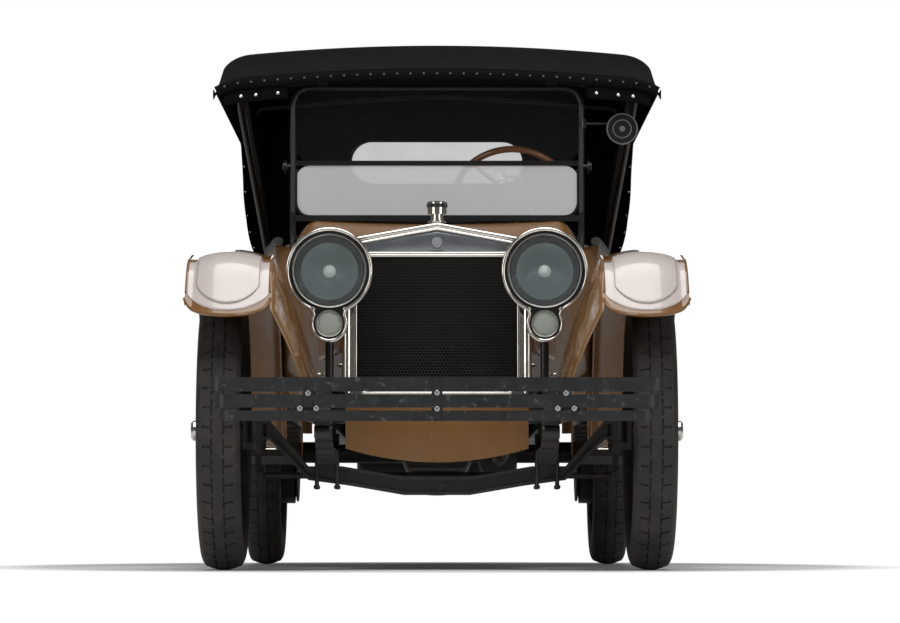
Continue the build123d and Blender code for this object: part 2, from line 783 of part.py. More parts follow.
# Floor and toe boards, with the two seat boxes
floor_board = 18
toe_half = 415
front_seat_front = 1900
front_seat_back = 2330
rear_seat_front = 3060
rear_seat_back = 3640
cushion_base = 770
rear_cushion_base = 800
with BuildPart() as floor_boards:
    with BuildSketch(side_plane(-belt_half)):
        with BuildLine():
            Polyline([(aft(body_front), floor_level), (aft(2690), floor_level), (aft(2690), rear_floor_level),
                      (aft(body_back), rear_floor_level), (aft(body_back), rear_floor_level + floor_board),
                      (aft(2672), rear_floor_level + floor_board), (aft(2672), floor_level + floor_board),
                      (aft(body_front), floor_level + floor_board)], close=True)
        make_face()
        for front, back, low, high in (
            (front_seat_front, front_seat_back + 60, floor_level + 1, cushion_base),
            (rear_seat_front, rear_seat_back + 60, rear_floor_level + 1, rear_cushion_base),
        ):
            with BuildLine():
                Polyline([(aft(front), low), (aft(back), low), (aft(back), high),
                          (aft(front), high)], close=True)
            make_face()
    extrude(amount=2 * belt_half)
    add(body_form(body_wall + seat_gap), mode=Mode.INTERSECT)
    with BuildSketch(side_plane(-toe_half)):
        with BuildLine():
            Polyline([(aft(scuttle_front + firewall), 800), (aft(1300), floor_level),
                      (aft(body_front), floor_level), (aft(body_front), floor_level + floor_board),
                      (aft(1310), floor_level + floor_board),
                      (aft(scuttle_front + firewall), 824)], close=True)
        make_face()
    extrude(amount=2 * toe_half)
    with BuildSketch(column_plane):
        Circle(26)
    extrude(amount=-1200, mode=Mode.SUBTRACT)
floor_boards.part.label = "floor_boards"
export_step(floor_boards.part, "parts/floor_boards.step")

# Dashboard across the back of the scuttle
with BuildPart() as dashboard:
    with Locations((0, aft(1345), 990)):
        Box(2 * belt_half, 18, 400, align=(Align.CENTER, Align.MIN, Align.MIN))
    add(scuttle_form(panel_thickness + seat_gap), mode=Mode.INTERSECT)
    with BuildSketch(column_plane):
        Circle(26)
    extrude(amount=-1200, mode=Mode.SUBTRACT)
dashboard.part.label = "dashboard"
export_step(dashboard.part, "parts/dashboard.step")

# Seats: a sprung cushion on its box and a leaning back, as plain leather forms
# Seats: name, half width, front, back, base, cushion height, back height, lean
seat_table = [
    ("front_seat", 540, front_seat_front, front_seat_back, cushion_base, 150, 330, 55),
    ("rear_seat", 505, rear_seat_front, rear_seat_back, rear_cushion_base, 150, 330, 60),
]
for seat_name, half, front, back, base, cushion, back_height, lean in seat_table:
    with BuildPart() as seat:
        with Locations((0, aft((front + back) / 2), base)):
            Box(2 * half, back - front, cushion, align=(Align.CENTER, Align.CENTER, Align.MIN))
        fillet(seat.edges().group_by(Axis.Z)[-1], radius=40)
        with BuildSketch(side_plane(-half)):
            with BuildLine():
                Polyline([(aft(back) + 5, base), (aft(back) + 60, base),
                          (aft(back) + 60 + lean, base + cushion),
                          (aft(back) + 60 + lean, base + cushion + back_height),
                          (aft(back) - 50 + lean, base + cushion + back_height)], close=True)
            make_face()
        extrude(amount=2 * half)
        fillet(seat.edges().group_by(Axis.Z)[-1].filter_by(Axis.X), radius=36)
    seat.part.label = seat_name
    export_step(seat.part, f"parts/{seat_name}.step")

# Steering column on its box, which stands on the left rail
column_radius = 19
column_drop = 1150
with BuildPart() as steering_column:
    with BuildSketch(column_plane.offset(-30)):
        Circle(column_radius)
    extrude(amount=30 - column_drop)
    with Locations((steer_x, aft(985), rail_top - 5)):
        Box(200, 110, 130, align=(Align.CENTER, Align.CENTER, Align.MIN))
    with BuildSketch(column_plane.offset(-30)):
        Circle(10 + pin_gap)
    extrude(amount=-80, mode=Mode.SUBTRACT)
steering_column.part.label = "steering_column"
export_step(steering_column.part, "parts/steering_column.step")

# Steering wheel: wooden rim on four metal spokes, with its shaft down the column
wheel_rim_radius = 216
wheel_rim_thickness = 12.5
with BuildPart() as steering_wheel:
    with Locations(Location(column_plane)):
        Torus(wheel_rim_radius, wheel_rim_thickness)
        Cylinder(30, 34)
        Cylinder(10, 90, align=(Align.CENTER, Align.CENTER, Align.MAX))
        with PolarLocations(20, 4, start_angle=45):
            Cylinder(7, wheel_rim_radius - 22, rotation=(0, 90, 0),
                     align=(Align.CENTER, Align.CENTER, Align.MIN))
steering_wheel.part.label = "steering_wheel"
export_step(steering_wheel.part, "parts/steering_wheel.step")

# Hand levers in the middle of the floor and three pedals
with BuildPart() as levers_pedals:
    # Rods: x, foot station, lean along the car, length, radius
    for x, foot, lean, length, radius in ((0, 1480, 120, 400, 9), (60, 1500, 60, 420, 10)):
        with BuildSketch(Plane(origin=(x, aft(foot), floor_level + floor_board + 10), x_dir=(1, 0, 0),
                               z_dir=(0, lean, length))):
            Circle(radius)
        extrude(amount=length)
        with Locations((x, aft(foot), floor_level + floor_board)):
            Box(50, 60, 40, align=(Align.CENTER, Align.CENTER, Align.MIN))
        with Locations((x, aft(foot) + lean * length / hypot(lean, length),
                        floor_level + floor_board + length * length / hypot(lean, length))):
            Sphere(18)
    for x in (205, 285, 365):
        with Locations((x, aft(1370), floor_level + floor_board)):
            Box(16, 20, 110, align=(Align.CENTER, Align.CENTER, Align.MIN))
        with Locations((x, aft(1370), floor_level + floor_board + 110)):
            Box(56, 24, 70, align=(Align.CENTER, Align.CENTER, Align.MIN))
levers_pedals.part.label = "levers_pedals"
export_step(levers_pedals.part, "parts/levers_pedals.step")

# Windscreen: black tube frame on the scuttle sides, split across, with a pivot knob each side
knob_level = screen_split - 10
with BuildPart() as windscreen_frame:
    with BuildLine(front_plane(aft(windscreen_at))):
        hoop = FilletPolyline((-windscreen_half, 1100), (-windscreen_half, screen_top - screen_tube),
                              (windscreen_half, screen_top - screen_tube), (windscreen_half, 1100), radius=60)
    with BuildSketch(Plane(origin=hoop @ 0, z_dir=hoop % 0)):
        Circle(screen_tube)
    sweep()
    for level, height in ((screen_bottom, 22), (screen_split, 14)):
        with Locations((0, aft(windscreen_at), level)):
            Box(2 * windscreen_half, 14, height)
    for side in (-1, 1):
        with Locations((side * windscreen_half, aft(windscreen_at), knob_level)):
            Cylinder(9, 38, rotation=(0, side * 90, 0), align=(Align.CENTER, Align.CENTER, Align.MIN))
windscreen_frame.part.label = "windscreen_frame"
export_step(windscreen_frame.part, "parts/windscreen_frame.step")

# Windscreen glass: upper and lower panes
pane_half = windscreen_half - screen_tube - glass_gap
with BuildPart() as windscreen_glass:
    for low, high in ((screen_bottom + 11, screen_split - 7),
                      (screen_split + 7, screen_top - 2 * screen_tube)):
        with BuildSketch(front_plane(aft(windscreen_at) + 3)):
            with Locations((0, (low + high) / 2)):
                RectangleRounded(2 * pane_half, high - low - 2 * glass_gap, 52)
        extrude(amount=6)
windscreen_glass.part.label = "windscreen_glass"
export_step(windscreen_glass.part, "parts/windscreen_glass.step")

# Round mirror clamped to the left windscreen post
mirror_level = 1608
with BuildPart() as side_mirror:
    with Locations((windscreen_half, aft(windscreen_at), mirror_level + 20)):
        Cylinder(screen_tube + 7, 34)
        Cylinder(screen_tube + 0.2, 34, mode=Mode.SUBTRACT)
        with Locations((-screen_tube - 8, 0, 0)):
            Box(26, 60, 60, mode=Mode.SUBTRACT)
    with Locations((windscreen_half + screen_tube + 4, aft(windscreen_at), mirror_level + 20)):
        Cylinder(5, 120, rotation=(0, 90, 0), align=(Align.CENTER, Align.CENTER, Align.MIN))
    with Locations((680, aft(windscreen_at), mirror_level)):
        Cylinder(58, 14, rotation=(90, 0, 0))
side_mirror.part.label = "side_mirror"
export_step(side_mirror.part, "parts/side_mirror.step")

# Folding top: roof sheet over the bows, with a back curtain and rear quarters
roof_half = 815
roof_arch = 45
roof_corner = 70
# Roof line: station, crown level
roof_line = [(1130, 1802), (1780, 1975), (2600, 2000), (3400, 1990), (3840, 1932)]
roof_back = 3780
quarter_front = 3250
# Outlines of the back curtain: level, half width, back
curtain_table = [(belt_level + 20, 690, top_back), (1790, 811, roof_back + 6)]
curtain_corner = 148


def roof_form(inset):
    """Roof block: an arched section carried along the roof line, flat below and rounded at the tail."""
    half = roof_half - inset
    with BuildPart() as form:
        for (start, start_crown), (stop, stop_crown) in zip(roof_line, roof_line[1:]):
            crown = start_crown - inset
            with BuildSketch(front_plane(aft(start))) as section:
                with BuildLine():
                    Polyline([(-half, crown - roof_arch), (-half, crown - 400), (half, crown - 400),
                              (half, crown - roof_arch)])
                    ThreePointArc((half, crown - roof_arch), (0, crown), (-half, crown - roof_arch))
                make_face()
                fillet(section.vertices().sort_by(Axis.Y)[2:], radius=roof_corner - inset)
            extrude(amount=hypot(stop - start, stop_crown - start_crown),
                    dir=(0, stop - start, stop_crown - start_crown))
        with BuildSketch(Plane.XY.offset(eave_level - inset)) as plan:
            with BuildLine():
                Polyline([(-half, aft(top_front) - 2 * inset), (half, aft(top_front) - 2 * inset),
                          (half, aft(roof_back) - inset), (-half, aft(roof_back) - inset)], close=True)
            make_face()
            fillet(plan.vertices().sort_by(Axis.Y)[-2:], radius=curtain_corner + 2 - inset)
        extrude(amount=400, mode=Mode.INTERSECT)
    return form.part


def curtain_form(inset, reach):
    """Back curtain block: plan outlines at its foot and under the roof, rounded at the corners."""
    with BuildPart() as form:
        for level, half, back in curtain_table:
            front = aft(quarter_front) - reach
            with BuildSketch(Plane.XY.offset(level)) as plan:
                with BuildLine():
                    Polyline([(inset - half, front), (half - inset, front), (half - inset, aft(back) - inset),
                              (inset - half, aft(back) - inset)], close=True)
                make_face()
                fillet(plan.vertices().sort_by(Axis.Y)[-2:], radius=curtain_corner - inset)
        loft(ruled=True)
    return form.part


window_level = 1712
with BuildPart() as window_cut:
    with BuildSketch(front_plane(aft(top_back) + 20)):
        with Locations((0, window_level)):
            SlotOverall(744, 187)
    extrude(amount=300)
with BuildPart() as curtain:
    add(curtain_form(0, 0))
    add(curtain_form(top_sheet, 50), mode=Mode.SUBTRACT)
    with BuildSketch(side_plane(-header_half - 50)):
        with BuildLine():
            Polyline([(aft(quarter_front) - 30, eave_level + 80), (aft(quarter_front) + 20, eave_level + 80),
                      (aft(quarter_front) + 20, eave_level), (aft(3640), belt_level),
                      (aft(quarter_front) - 30, belt_level)], close=True)
        make_face()
    extrude(amount=2 * header_half + 100, mode=Mode.SUBTRACT)
    add(window_cut.part, mode=Mode.SUBTRACT)
with BuildPart() as top_canopy:
    add(roof_form(0))
    add(roof_form(top_sheet), mode=Mode.SUBTRACT)
    with Locations((0, aft(roof_back) - top_sheet / 2, eave_level)):
        Box(1400, 2 * top_sheet, 40, align=(Align.CENTER, Align.CENTER, Align.MIN), mode=Mode.SUBTRACT)
    add(window_cut.part, mode=Mode.SUBTRACT)
    add(curtain.part)
top_canopy.part.label = "top_canopy"
export_step(top_canopy.part, "parts/top_canopy.step")

# Top bows: wooden hoops from one pivot on each side, with the header rail on the windscreen
# Bows: station and level of the crown, level of the shoulders
bow_pivot_half = belt_half + 30
bow_half = 776
bow_table = [(1800, 1948, 1880), (2600, 1974, 1906), (3380, 1964, 1896)]
with BuildPart() as top_bows:
    for station, crown, eave in bow_table:
        run = aft(station) - aft(bow_pivot_at)
        climb = crown - bow_pivot_level
        reach = hypot(run, climb)
        with BuildLine(Plane(origin=(0, aft(bow_pivot_at), bow_pivot_level), x_dir=(1, 0, 0),
                             z_dir=(0, -climb, run))) as bow_line:
            FilletPolyline((-bow_pivot_half, 0), (-bow_half, reach * (eave - bow_pivot_level) / climb),
            (0, reach),
                           (bow_half, reach * (eave - bow_pivot_level) / climb), (bow_pivot_half, 0),
                           radius=(60, 2500, 60))
        bow_path = bow_line.wires()[0]
        with BuildSketch(Plane(origin=bow_path @ 0, z_dir=bow_path % 0)):
            Circle(bow_radius)
        sweep(path=bow_path)
    for side in (-1, 1):
        with Locations((side * belt_half + side * seat_gap, aft(bow_pivot_at), bow_pivot_level - 60)):
            Box(bow_pivot_half + bow_radius - belt_half, 60, 84,
                align=(Align.MIN if side == 1 else Align.MAX, Align.CENTER, Align.MIN))
    with BuildSketch(front_plane(aft(top_front) + 62)):
        with BuildLine():
            ThreePointArc((-780, 1750), (0, 1802), (780, 1750))
            Line((780, 1750), (780, 1738))
            ThreePointArc((780, 1738), (0, 1790), (-780, 1738))
            Line((-780, 1738), (-780, 1750))
        make_face()
    extrude(amount=50)
    for side in (-1, 1):
        with BuildSketch(front_plane(aft(windscreen_at) + screen_tube)):
            with BuildLine():
                Polyline([(side * 400, screen_top), (side * 440, screen_top), (side * 440, screen_top + 14),
                          (side * 400, screen_top + 14)], close=True)
            make_face()
        extrude(amount=windscreen_at - top_front)
top_bows.part.label = "top_bows"
export_step(top_bows.part, "parts/top_bows.step")

# Spare tyre on a demountable rim, carried upright behind the tail by two arms
spare_y = rear_axle_y + rear_overhang - tyre_width / 2
spare_level = 760
spare_plane = Plane(origin=(0, spare_y, spare_level), x_dir=(0, 1, 0), z_dir=(1, 0, 0))


def tyre_outline():
    """Half-section of a tyre: local x along the axle, local y out from the axle."""
    bead = rim_radius + seat_gap
    with BuildSketch() as outline:
        with BuildLine():
            Polyline([(-bead_half, bead + 18), (-bead_half, bead), (bead_half, bead), (bead_half, bead + 18)])
            ThreePointArc((bead_half, bead + 18), (tyre_width / 2, tyre_radius - 60),
                          (tyre_width / 2 - 19, tyre_radius - 14))
            ThreePointArc((tyre_width / 2 - 19, tyre_radius - 14), (0, tyre_radius),
                          (19 - tyre_width / 2, tyre_radius - 14))
            ThreePointArc((19 - tyre_width / 2, tyre_radius - 14), (-tyre_width / 2, tyre_radius - 60),
                          (-bead_half, bead + 18))
        make_face()
    return outline.sketch


bead_half = 35
felloe_half = 26
felloe_radius = 292
with BuildPart() as spare_tyre:
    with BuildSketch(spare_plane):
        add(tyre_outline())
    revolve(axis=Axis((0, spare_y, spare_level), (0, 1, 0)))
spare_tyre.part.label = "spare_tyre"
export_step(spare_tyre.part, "parts/spare_tyre.step")

rim_flange = 17
with BuildPart() as spare_carrier:
    with BuildSketch(spare_plane):
        with BuildLine():
            Polyline([(-bead_half - 6, rim_radius + rim_flange), (-bead_half - 1, rim_radius + rim_flange),
                      (-bead_half - 1, rim_radius), (bead_half + 1, rim_radius),
                      (bead_half + 1, rim_radius + rim_flange), (bead_half + 6, rim_radius + rim_flange),
                      (bead_half + 6, rim_radius - 12), (-bead_half - 6, rim_radius - 12)], close=True)
        make_face()
    revolve(axis=Axis((0, spare_y, spare_level), (0, 1, 0)))
    for side in (-1, 1):
        with Locations((side * 130, spare_y, spare_level)):
            Box(30, 20, 2 * rim_radius - 80)
    for level in (640, 880):
        with Locations((0, spare_y, level)):
            Box(2 * (rim_radius**2 - (level - spare_level) ** 2) ** 0.5 - 20, 20, 36)
    for side in (-1, 1):
        with Locations((side * carrier_arm_x, carrier_front + seat_gap, carrier_level)):
            Box(40, spare_y - carrier_front, 36, align=(Align.CENTER, Align.MIN, Align.CENTER))
spare_carrier.part.label = "spare_carrier"
export_step(spare_carrier.part, "parts/spare_carrier.step")

# Tail lamp on a bracket from the left rail's end
with BuildPart() as tail_lamp:
    with Locations((rail_outer + seat_gap, aft(4150), 650)):
        Box(300, 14, 24, align=(Align.MIN, Align.CENTER, Align.CENTER))
    with Locations((690, aft(4140), 650)):
        Cylinder(44, 66, rotation=(-90, 0, 0), align=(Align.CENTER, Align.CENTER, Align.MIN))
tail_lamp.part.label = "tail_lamp"
export_step(tail_lamp.part, "parts/tail_lamp.step")

# Front steering knuckles: fork and kingpin round the axle boss, spindle and rearward arm
lug_gap = 1.5
lug_height = 23
knuckle_plate = 14
knuckle_face = wheel_x - 61
arm_eye_low = tie_rod_level + 15
for side_name, side in (("left", 1), ("right", -1)):
    kingpin_x = side * kingpin_half_span
    lug_low = axle_boss_height / 2 + lug_gap
    lug_high = lug_low + lug_height
    fork_foot = tyre_radius - lug_high
    with BuildPart() as knuckle:
        with Locations((kingpin_x, front_axle_y, tyre_radius)):
            Cylinder(kingpin_radius, 2 * lug_high + 10)
        for level in (-lug_high, lug_low):
            with Locations((kingpin_x, front_axle_y, tyre_radius + level)):
                Cylinder(28, lug_height, align=(Align.CENTER, Align.CENTER, Align.MIN))
                Box(knuckle_face - kingpin_half_span, 50, lug_height,
                    align=(Align.MIN if side == 1 else Align.MAX, Align.CENTER, Align.MIN))
        with Locations((side * (knuckle_face - knuckle_plate / 2), front_axle_y, tyre_radius)):
            Box(knuckle_plate, 56, 2 * lug_high)
        with Locations((side * (knuckle_face - 2), front_axle_y, tyre_radius)):
            Cylinder(spindle_radius, wheel_x + spindle_reach - knuckle_face + 2, rotation=(0, side * 90, 0),
                     align=(Align.CENTER, Align.CENTER, Align.MIN))
        with BuildSketch(side_plane(kingpin_x - 10)):
            with BuildLine():
                Polyline([(front_axle_y - 22, fork_foot + 2), (front_axle_y + 24, fork_foot + 2),
                          (front_axle_y + 140, arm_eye_low + 18),
                          (front_axle_y + tie_rod_setback, arm_eye_low + 18),
                          (front_axle_y + tie_rod_setback, arm_eye_low), (front_axle_y + 132, arm_eye_low),
                          (front_axle_y + 16, fork_foot - 14),
                          (front_axle_y - 22, fork_foot - 14)], close=True)
            make_face()
        extrude(amount=20)
        with Locations((kingpin_x, front_axle_y + tie_rod_setback, arm_eye_low)):
            Cylinder(17, 18, align=(Align.CENTER, Align.CENTER, Align.MIN))
            Cylinder(8 + pin_gap, 18, align=(Align.CENTER, Align.CENTER, Align.MIN), mode=Mode.SUBTRACT)
    knuckle.part.label = f"knuckle_{side_name}"
    export_step(knuckle.part, f"parts/knuckle_{side_name}.step")

# Track rod between the two steering arms, with a pin up through each arm's eye
with BuildPart() as tie_rod:
    with Locations((0, front_axle_y + tie_rod_setback, tie_rod_level)):
        Cylinder(11, 2 * kingpin_half_span - 20, rotation=(0, 90, 0))
    with Locations(*[(s * kingpin_half_span, front_axle_y + tie_rod_setback, tie_rod_level)
                     for s in (-1, 1)]):
        Cylinder(17, 24)
        Cylinder(8, 38, align=(Align.CENTER, Align.CENTER, Align.MIN))
tie_rod.part.label = "tie_rod"
export_step(tie_rod.part, "parts/tie_rod.step")

# Road wheels: steel rim on a wooden felloe, twelve spokes, flanged hub and cap, drums at the rear
corner_table = [
    ("front_left", 1, front_axle_y),
    ("front_right", -1, front_axle_y),
    ("rear_left", 1, rear_axle_y),
    ("rear_right", -1, rear_axle_y),
]
hub_inner = -58
for corner, side, station in corner_table:
    wheel_axis = Axis((0, station, tyre_radius), (1, 0, 0))
    bore = spindle_radius + pin_gap
    with BuildPart() as wheel:
        with BuildSketch(axial_plane(side, station, tyre_radius)):
            with BuildLine():
                Polyline([(hub_inner, bore), (hub_inner, hub_radius), (-hub_flange_width / 2, hub_radius),
                          (-hub_flange_width / 2, hub_flange_radius),
                          (hub_flange_width / 2, hub_flange_radius),
                          (hub_flange_width / 2, hub_radius), (62, hub_radius), (62, hub_cap_radius),
                          (hub_cap_reach - 8, hub_cap_radius), (hub_cap_reach, hub_cap_radius - 8),
                          (hub_cap_reach, 0), (spindle_reach + 4, 0), (spindle_reach + 4, bore)], close=True)
            make_face()
            with BuildLine():
                Polyline([(-felloe_half, felloe_radius), (felloe_half, felloe_radius),
                          (felloe_half, rim_radius - 5), (bead_half + 6, rim_radius - 5),
                          (bead_half + 6, rim_radius + rim_flange), (bead_half + 1, rim_radius + rim_flange),
                          (bead_half + 1, rim_radius), (-bead_half - 1, rim_radius),
                          (-bead_half - 1, rim_radius + rim_flange),
                          (-bead_half - 6, rim_radius + rim_flange),
                          (-bead_half - 6, rim_radius - 5), (-felloe_half, rim_radius - 5)], close=True)
            make_face()
            if station == rear_axle_y:
                with BuildLine():
                    Polyline([(-34, hub_radius - 4), (-34, drum_radius), (-119, drum_radius),
                              (-119, drum_radius - 9), (-41, drum_radius - 9),
                              (-41, hub_radius - 4)], close=True)
                make_face()
        revolve(axis=wheel_axis)
        with Locations(Location(side_plane(side * wheel_x) * Pos(station, tyre_radius, 0))):
            with PolarLocations(hub_flange_radius - 8, spoke_count):
                Cone(19, 14, felloe_radius - hub_flange_radius + 12, rotation=(0, 90, 0),
                     align=(Align.CENTER, Align.CENTER, Align.MIN))
    wheel.part.label = f"wheel_{corner}"
    export_step(wheel.part, f"parts/wheel_{corner}.step")
    with BuildPart() as tyre:
        with BuildSketch(axial_plane(side, station, tyre_radius)):
            add(tyre_outline())
        revolve(axis=wheel_axis)
    tyre.part.label = f"tyre_{corner}"
    export_step(tyre.part, f"parts/tyre_{corner}.step")
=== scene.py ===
from math import cos, pi, radians, sin

import bmesh
import bpy
import numpy as np
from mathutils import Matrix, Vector


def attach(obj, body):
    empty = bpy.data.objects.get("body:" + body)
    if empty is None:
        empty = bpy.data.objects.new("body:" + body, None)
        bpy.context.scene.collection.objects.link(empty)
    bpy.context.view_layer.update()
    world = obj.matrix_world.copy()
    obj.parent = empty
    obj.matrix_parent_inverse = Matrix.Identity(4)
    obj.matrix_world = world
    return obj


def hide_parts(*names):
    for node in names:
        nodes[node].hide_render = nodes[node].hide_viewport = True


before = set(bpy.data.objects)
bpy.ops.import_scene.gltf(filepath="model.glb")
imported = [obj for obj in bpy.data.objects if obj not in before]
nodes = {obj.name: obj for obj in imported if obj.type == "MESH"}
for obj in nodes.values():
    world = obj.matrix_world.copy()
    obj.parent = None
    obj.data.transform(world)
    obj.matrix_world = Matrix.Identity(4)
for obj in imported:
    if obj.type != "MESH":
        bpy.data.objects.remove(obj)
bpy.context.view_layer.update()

# Studio: a long lens almost at floor level, a pale floor and soft overhead and side lights.
# The sky is white only where the camera or glass looks at it, and soft grey for metal and paint.
scene = bpy.context.scene
scene.view_settings.view_transform = "Standard"
camera_data = bpy.data.cameras.new("camera")
camera_data.sensor_width = 36
camera_data.lens = 165.0
camera_data.clip_end = 200
camera = bpy.data.objects.new("camera", camera_data)
camera.location = (0.0, -15.637, 0.10)
camera.rotation_euler = (radians(93.17), 0, radians(-0.18))
scene.collection.objects.link(camera)
scene.camera = camera


def area_light(name, place, aim, size, power):
    """Square soft light at a place, turned to face its aim."""
    data = bpy.data.lights.new(name, "AREA")
    data.shape = "RECTANGLE"
    data.size, data.size_y = size
    data.energy = power
    light = bpy.data.objects.new(name, data)
    light.location = place
    light.rotation_mode = "QUATERNION"
    light.rotation_quaternion = Vector([a - p for a, p in zip(aim, place)]).to_track_quat("-Z", "Y")
    scene.collection.objects.link(light)


area_light("overhead", (0, -2.6, 5.5), (0, -0.6, 0), (4, 7), 240)
area_light("front_left", (5.5, -7.5, 2.6), (0, -1, 0.9), (3, 3.5), 88)
area_light("front_right", (-5.5, -7.5, 2.6), (0, -1, 0.9), (3, 3.5), 88)
area_light("rear", (0, 8.5, 3.6), (0, 1, 1.0), (6, 2.5), 90)


class Socket:
    """Output of a shader node; arithmetic on it adds Math nodes to the same tree."""

    def __init__(self, tree, output):
        self.tree = tree
        self.output = output

    def math(self, operation, *others):
        """New Math node: operation(self, others...)."""
        node = self.tree.nodes.new("ShaderNodeMath")
        node.operation = operation
        for socket, value in zip(node.inputs, (self, *others)):
            feed(self.tree, socket, value)
        return Socket(self.tree, node.outputs[0])

    def __add__(self, other):
        return self.math("ADD", other)

    def __mul__(self, other):
        return self.math("MULTIPLY", other)

    def __sub__(self, other):
        return self.math("SUBTRACT", other)

    def __rsub__(self, other):
        return self.math("MULTIPLY", -1).math("ADD", other)

    def __truediv__(self, other):
        return self.math("DIVIDE", other)

    def __pow__(self, other):
        return self.math("POWER", other)

    __radd__ = __add__
    __rmul__ = __mul__


def feed(tree, socket, value):
    """Link a Socket into a node's input, or set a constant on it."""
    if isinstance(value, Socket):
        tree.links.new(value.output, socket)
    elif isinstance(value, tuple) and len(value) == 3 and socket.type == "RGBA":
        socket.default_value = (*value, 1)
    else:
        socket.default_value = value


class Shader:
    """Node tree of one material or world, with one method that adds any node."""

    def __init__(self, name, **constants):
        self.material = bpy.data.materials.new(name)
        self.material.use_nodes = True
        self.tree = self.material.node_tree
        self.surface = self.tree.nodes["Principled BSDF"]
        self.set(**constants)
        place = self.tree.nodes.new("ShaderNodeTexCoord")
        self.point = Socket(self.tree, place.outputs["Object"])
        split = self.node("ShaderNodeSeparateXYZ", Vector=self.point)
        self.x, self.y, self.z = (Socket(self.tree, split.outputs[k]) for k in range(3))

    def set(self, **values):
        """Give sockets of the surface shader a constant or a link; names use _ for a space."""
        for name, value in values.items():
            feed(self.tree, self.surface.inputs[name.replace("_", " ")], value)

    def node(self, kind, settings=None, **inputs):
        """Add a node; inputs are named with _ for a space, or p0, p1... by position."""
        node = self.tree.nodes.new(kind)
        for key, value in (settings or {}).items():
            setattr(node, key, value)
        for key, value in inputs.items():
            place = int(key[1:]) if key[0] == "p" and key[1:].isdigit() else key.replace("_", " ")
            feed(self.tree, node.inputs[place], value)
        return node

    def noise(self, scale, detail=3.0, roughness=0.5, point=None):
        """Value of a noise texture, 0 to 1, with its scale in waves per metre."""
        node = self.node("ShaderNodeTexNoise", Vector=point or self.point, Scale=scale, Detail=detail,
                         Roughness=roughness)
        return Socket(self.tree, node.outputs[0])

    def cells(self, scale, feature="F1", point=None):
        """Distance value of a cell texture."""
        node = self.node("ShaderNodeTexVoronoi", {"feature": feature}, Vector=point or self.point,
                         Scale=scale)
        return Socket(self.tree, node.outputs["Distance"])

    def ramp(self, value, low, high, to_low=0.0, to_high=1.0):
        """Value mapped from low..high to to_low..to_high and held at the ends."""
        node = self.node("ShaderNodeMapRange", p0=value, p1=low, p2=high, p3=to_low, p4=to_high)
        return Socket(self.tree, node.outputs[0])

    def mix(self, factor, first, second):
        """Colour between first and second."""
        node = self.node("ShaderNodeMix", {"data_type": "RGBA"}, p0=factor, p6=first, p7=second)
        return Socket(self.tree, node.outputs[2])

    def blend(self, value, first, second, gain, base, gloss=None):
        """Colour from first to second by value, and roughness (gloss or value) * gain + base."""
        self.set(Base_Color=self.mix(value, first, second), Roughness=(gloss or value) * gain + base)

    def bump(self, height, depth, strength=1.0):
        """Normal from a height value; depth is in metres."""
        node = self.node("ShaderNodeBump", Height=height, Distance=depth, Strength=strength)
        self.set(Normal=Socket(self.tree, node.outputs[0]))

    def squeezed(self, x=1.0, y=1.0, z=1.0):
        """The surface point with its axes scaled, for stretched grain."""
        node = self.node("ShaderNodeCombineXYZ", X=self.x * x, Y=self.y * y, Z=self.z * z)
        return Socket(self.tree, node.outputs[0])


def dress(obj, *shaders):
    """Give an object its materials, on the object's own slots."""
    for index, shader in enumerate(shaders):
        if index >= len(obj.data.materials):
            obj.data.materials.append(shader.material)
        obj.material_slots[index].link = "OBJECT"
        obj.material_slots[index].material = shader.material


world = bpy.data.worlds.new("studio")
scene.world = world
world.use_nodes = True
tree = world.node_tree
rays = tree.nodes.new("ShaderNodeLightPath")
through_glass = Socket(tree, rays.outputs["Is Transmission Ray"])
seen = Socket(tree, rays.outputs["Is Camera Ray"]).math("MAXIMUM", through_glass)
glossy = Socket(tree, rays.outputs["Is Glossy Ray"])
sky_on_gloss, sky_on_matt = 0.10, 0.16
background = tree.nodes["Background"]
background.inputs["Color"].default_value = (1, 1, 1, 1)
feed(tree, background.inputs["Strength"],
     seen + (1 - seen) * (glossy * sky_on_gloss + (1 - glossy) * sky_on_matt))

floor_mesh = bpy.data.meshes.new("floor")
floor_mesh.from_pydata([(-60, -20, 0), (60, -20, 0), (60, 120, 0), (-60, 120, 0)], [], [(0, 1, 2, 3)])
floor = bpy.data.objects.new("floor", floor_mesh)
scene.collection.objects.link(floor)
# Far from the car the camera sees the paper as plain white, so that no horizon shows.
paper = Shader("floor_paper", Roughness=0.9, Emission_Strength=1.0)
away = paper.ramp(((paper.x * paper.x * 3.5) + (paper.y * paper.y)) ** 0.5, 2.75, 3.4)
plain = away * Socket(paper.tree, paper.node("ShaderNodeLightPath").outputs["Is Camera Ray"])
pale = paper.mix(paper.noise(2.0), (0.88, 0.88, 0.88), (0.93, 0.93, 0.93))
black, white = (0.0, 0.0, 0.0), (1.0, 1.0, 1.0)
paper.set(Base_Color=paper.mix(plain, pale, black), Emission_Color=paper.mix(plain, black, white))
dress(floor, paper)

# Chassis frame, axles, springs and engine: pressed and forged steel in worn black enamel.
# The spring seats are held by U-bolts with nuts below, and the frame is riveted at its cross members.
front_axle_y, wheelbase = -1.837, 3.454


def aft(distance):
    """Station in metres, measured back from the front axle."""
    return front_axle_y + distance


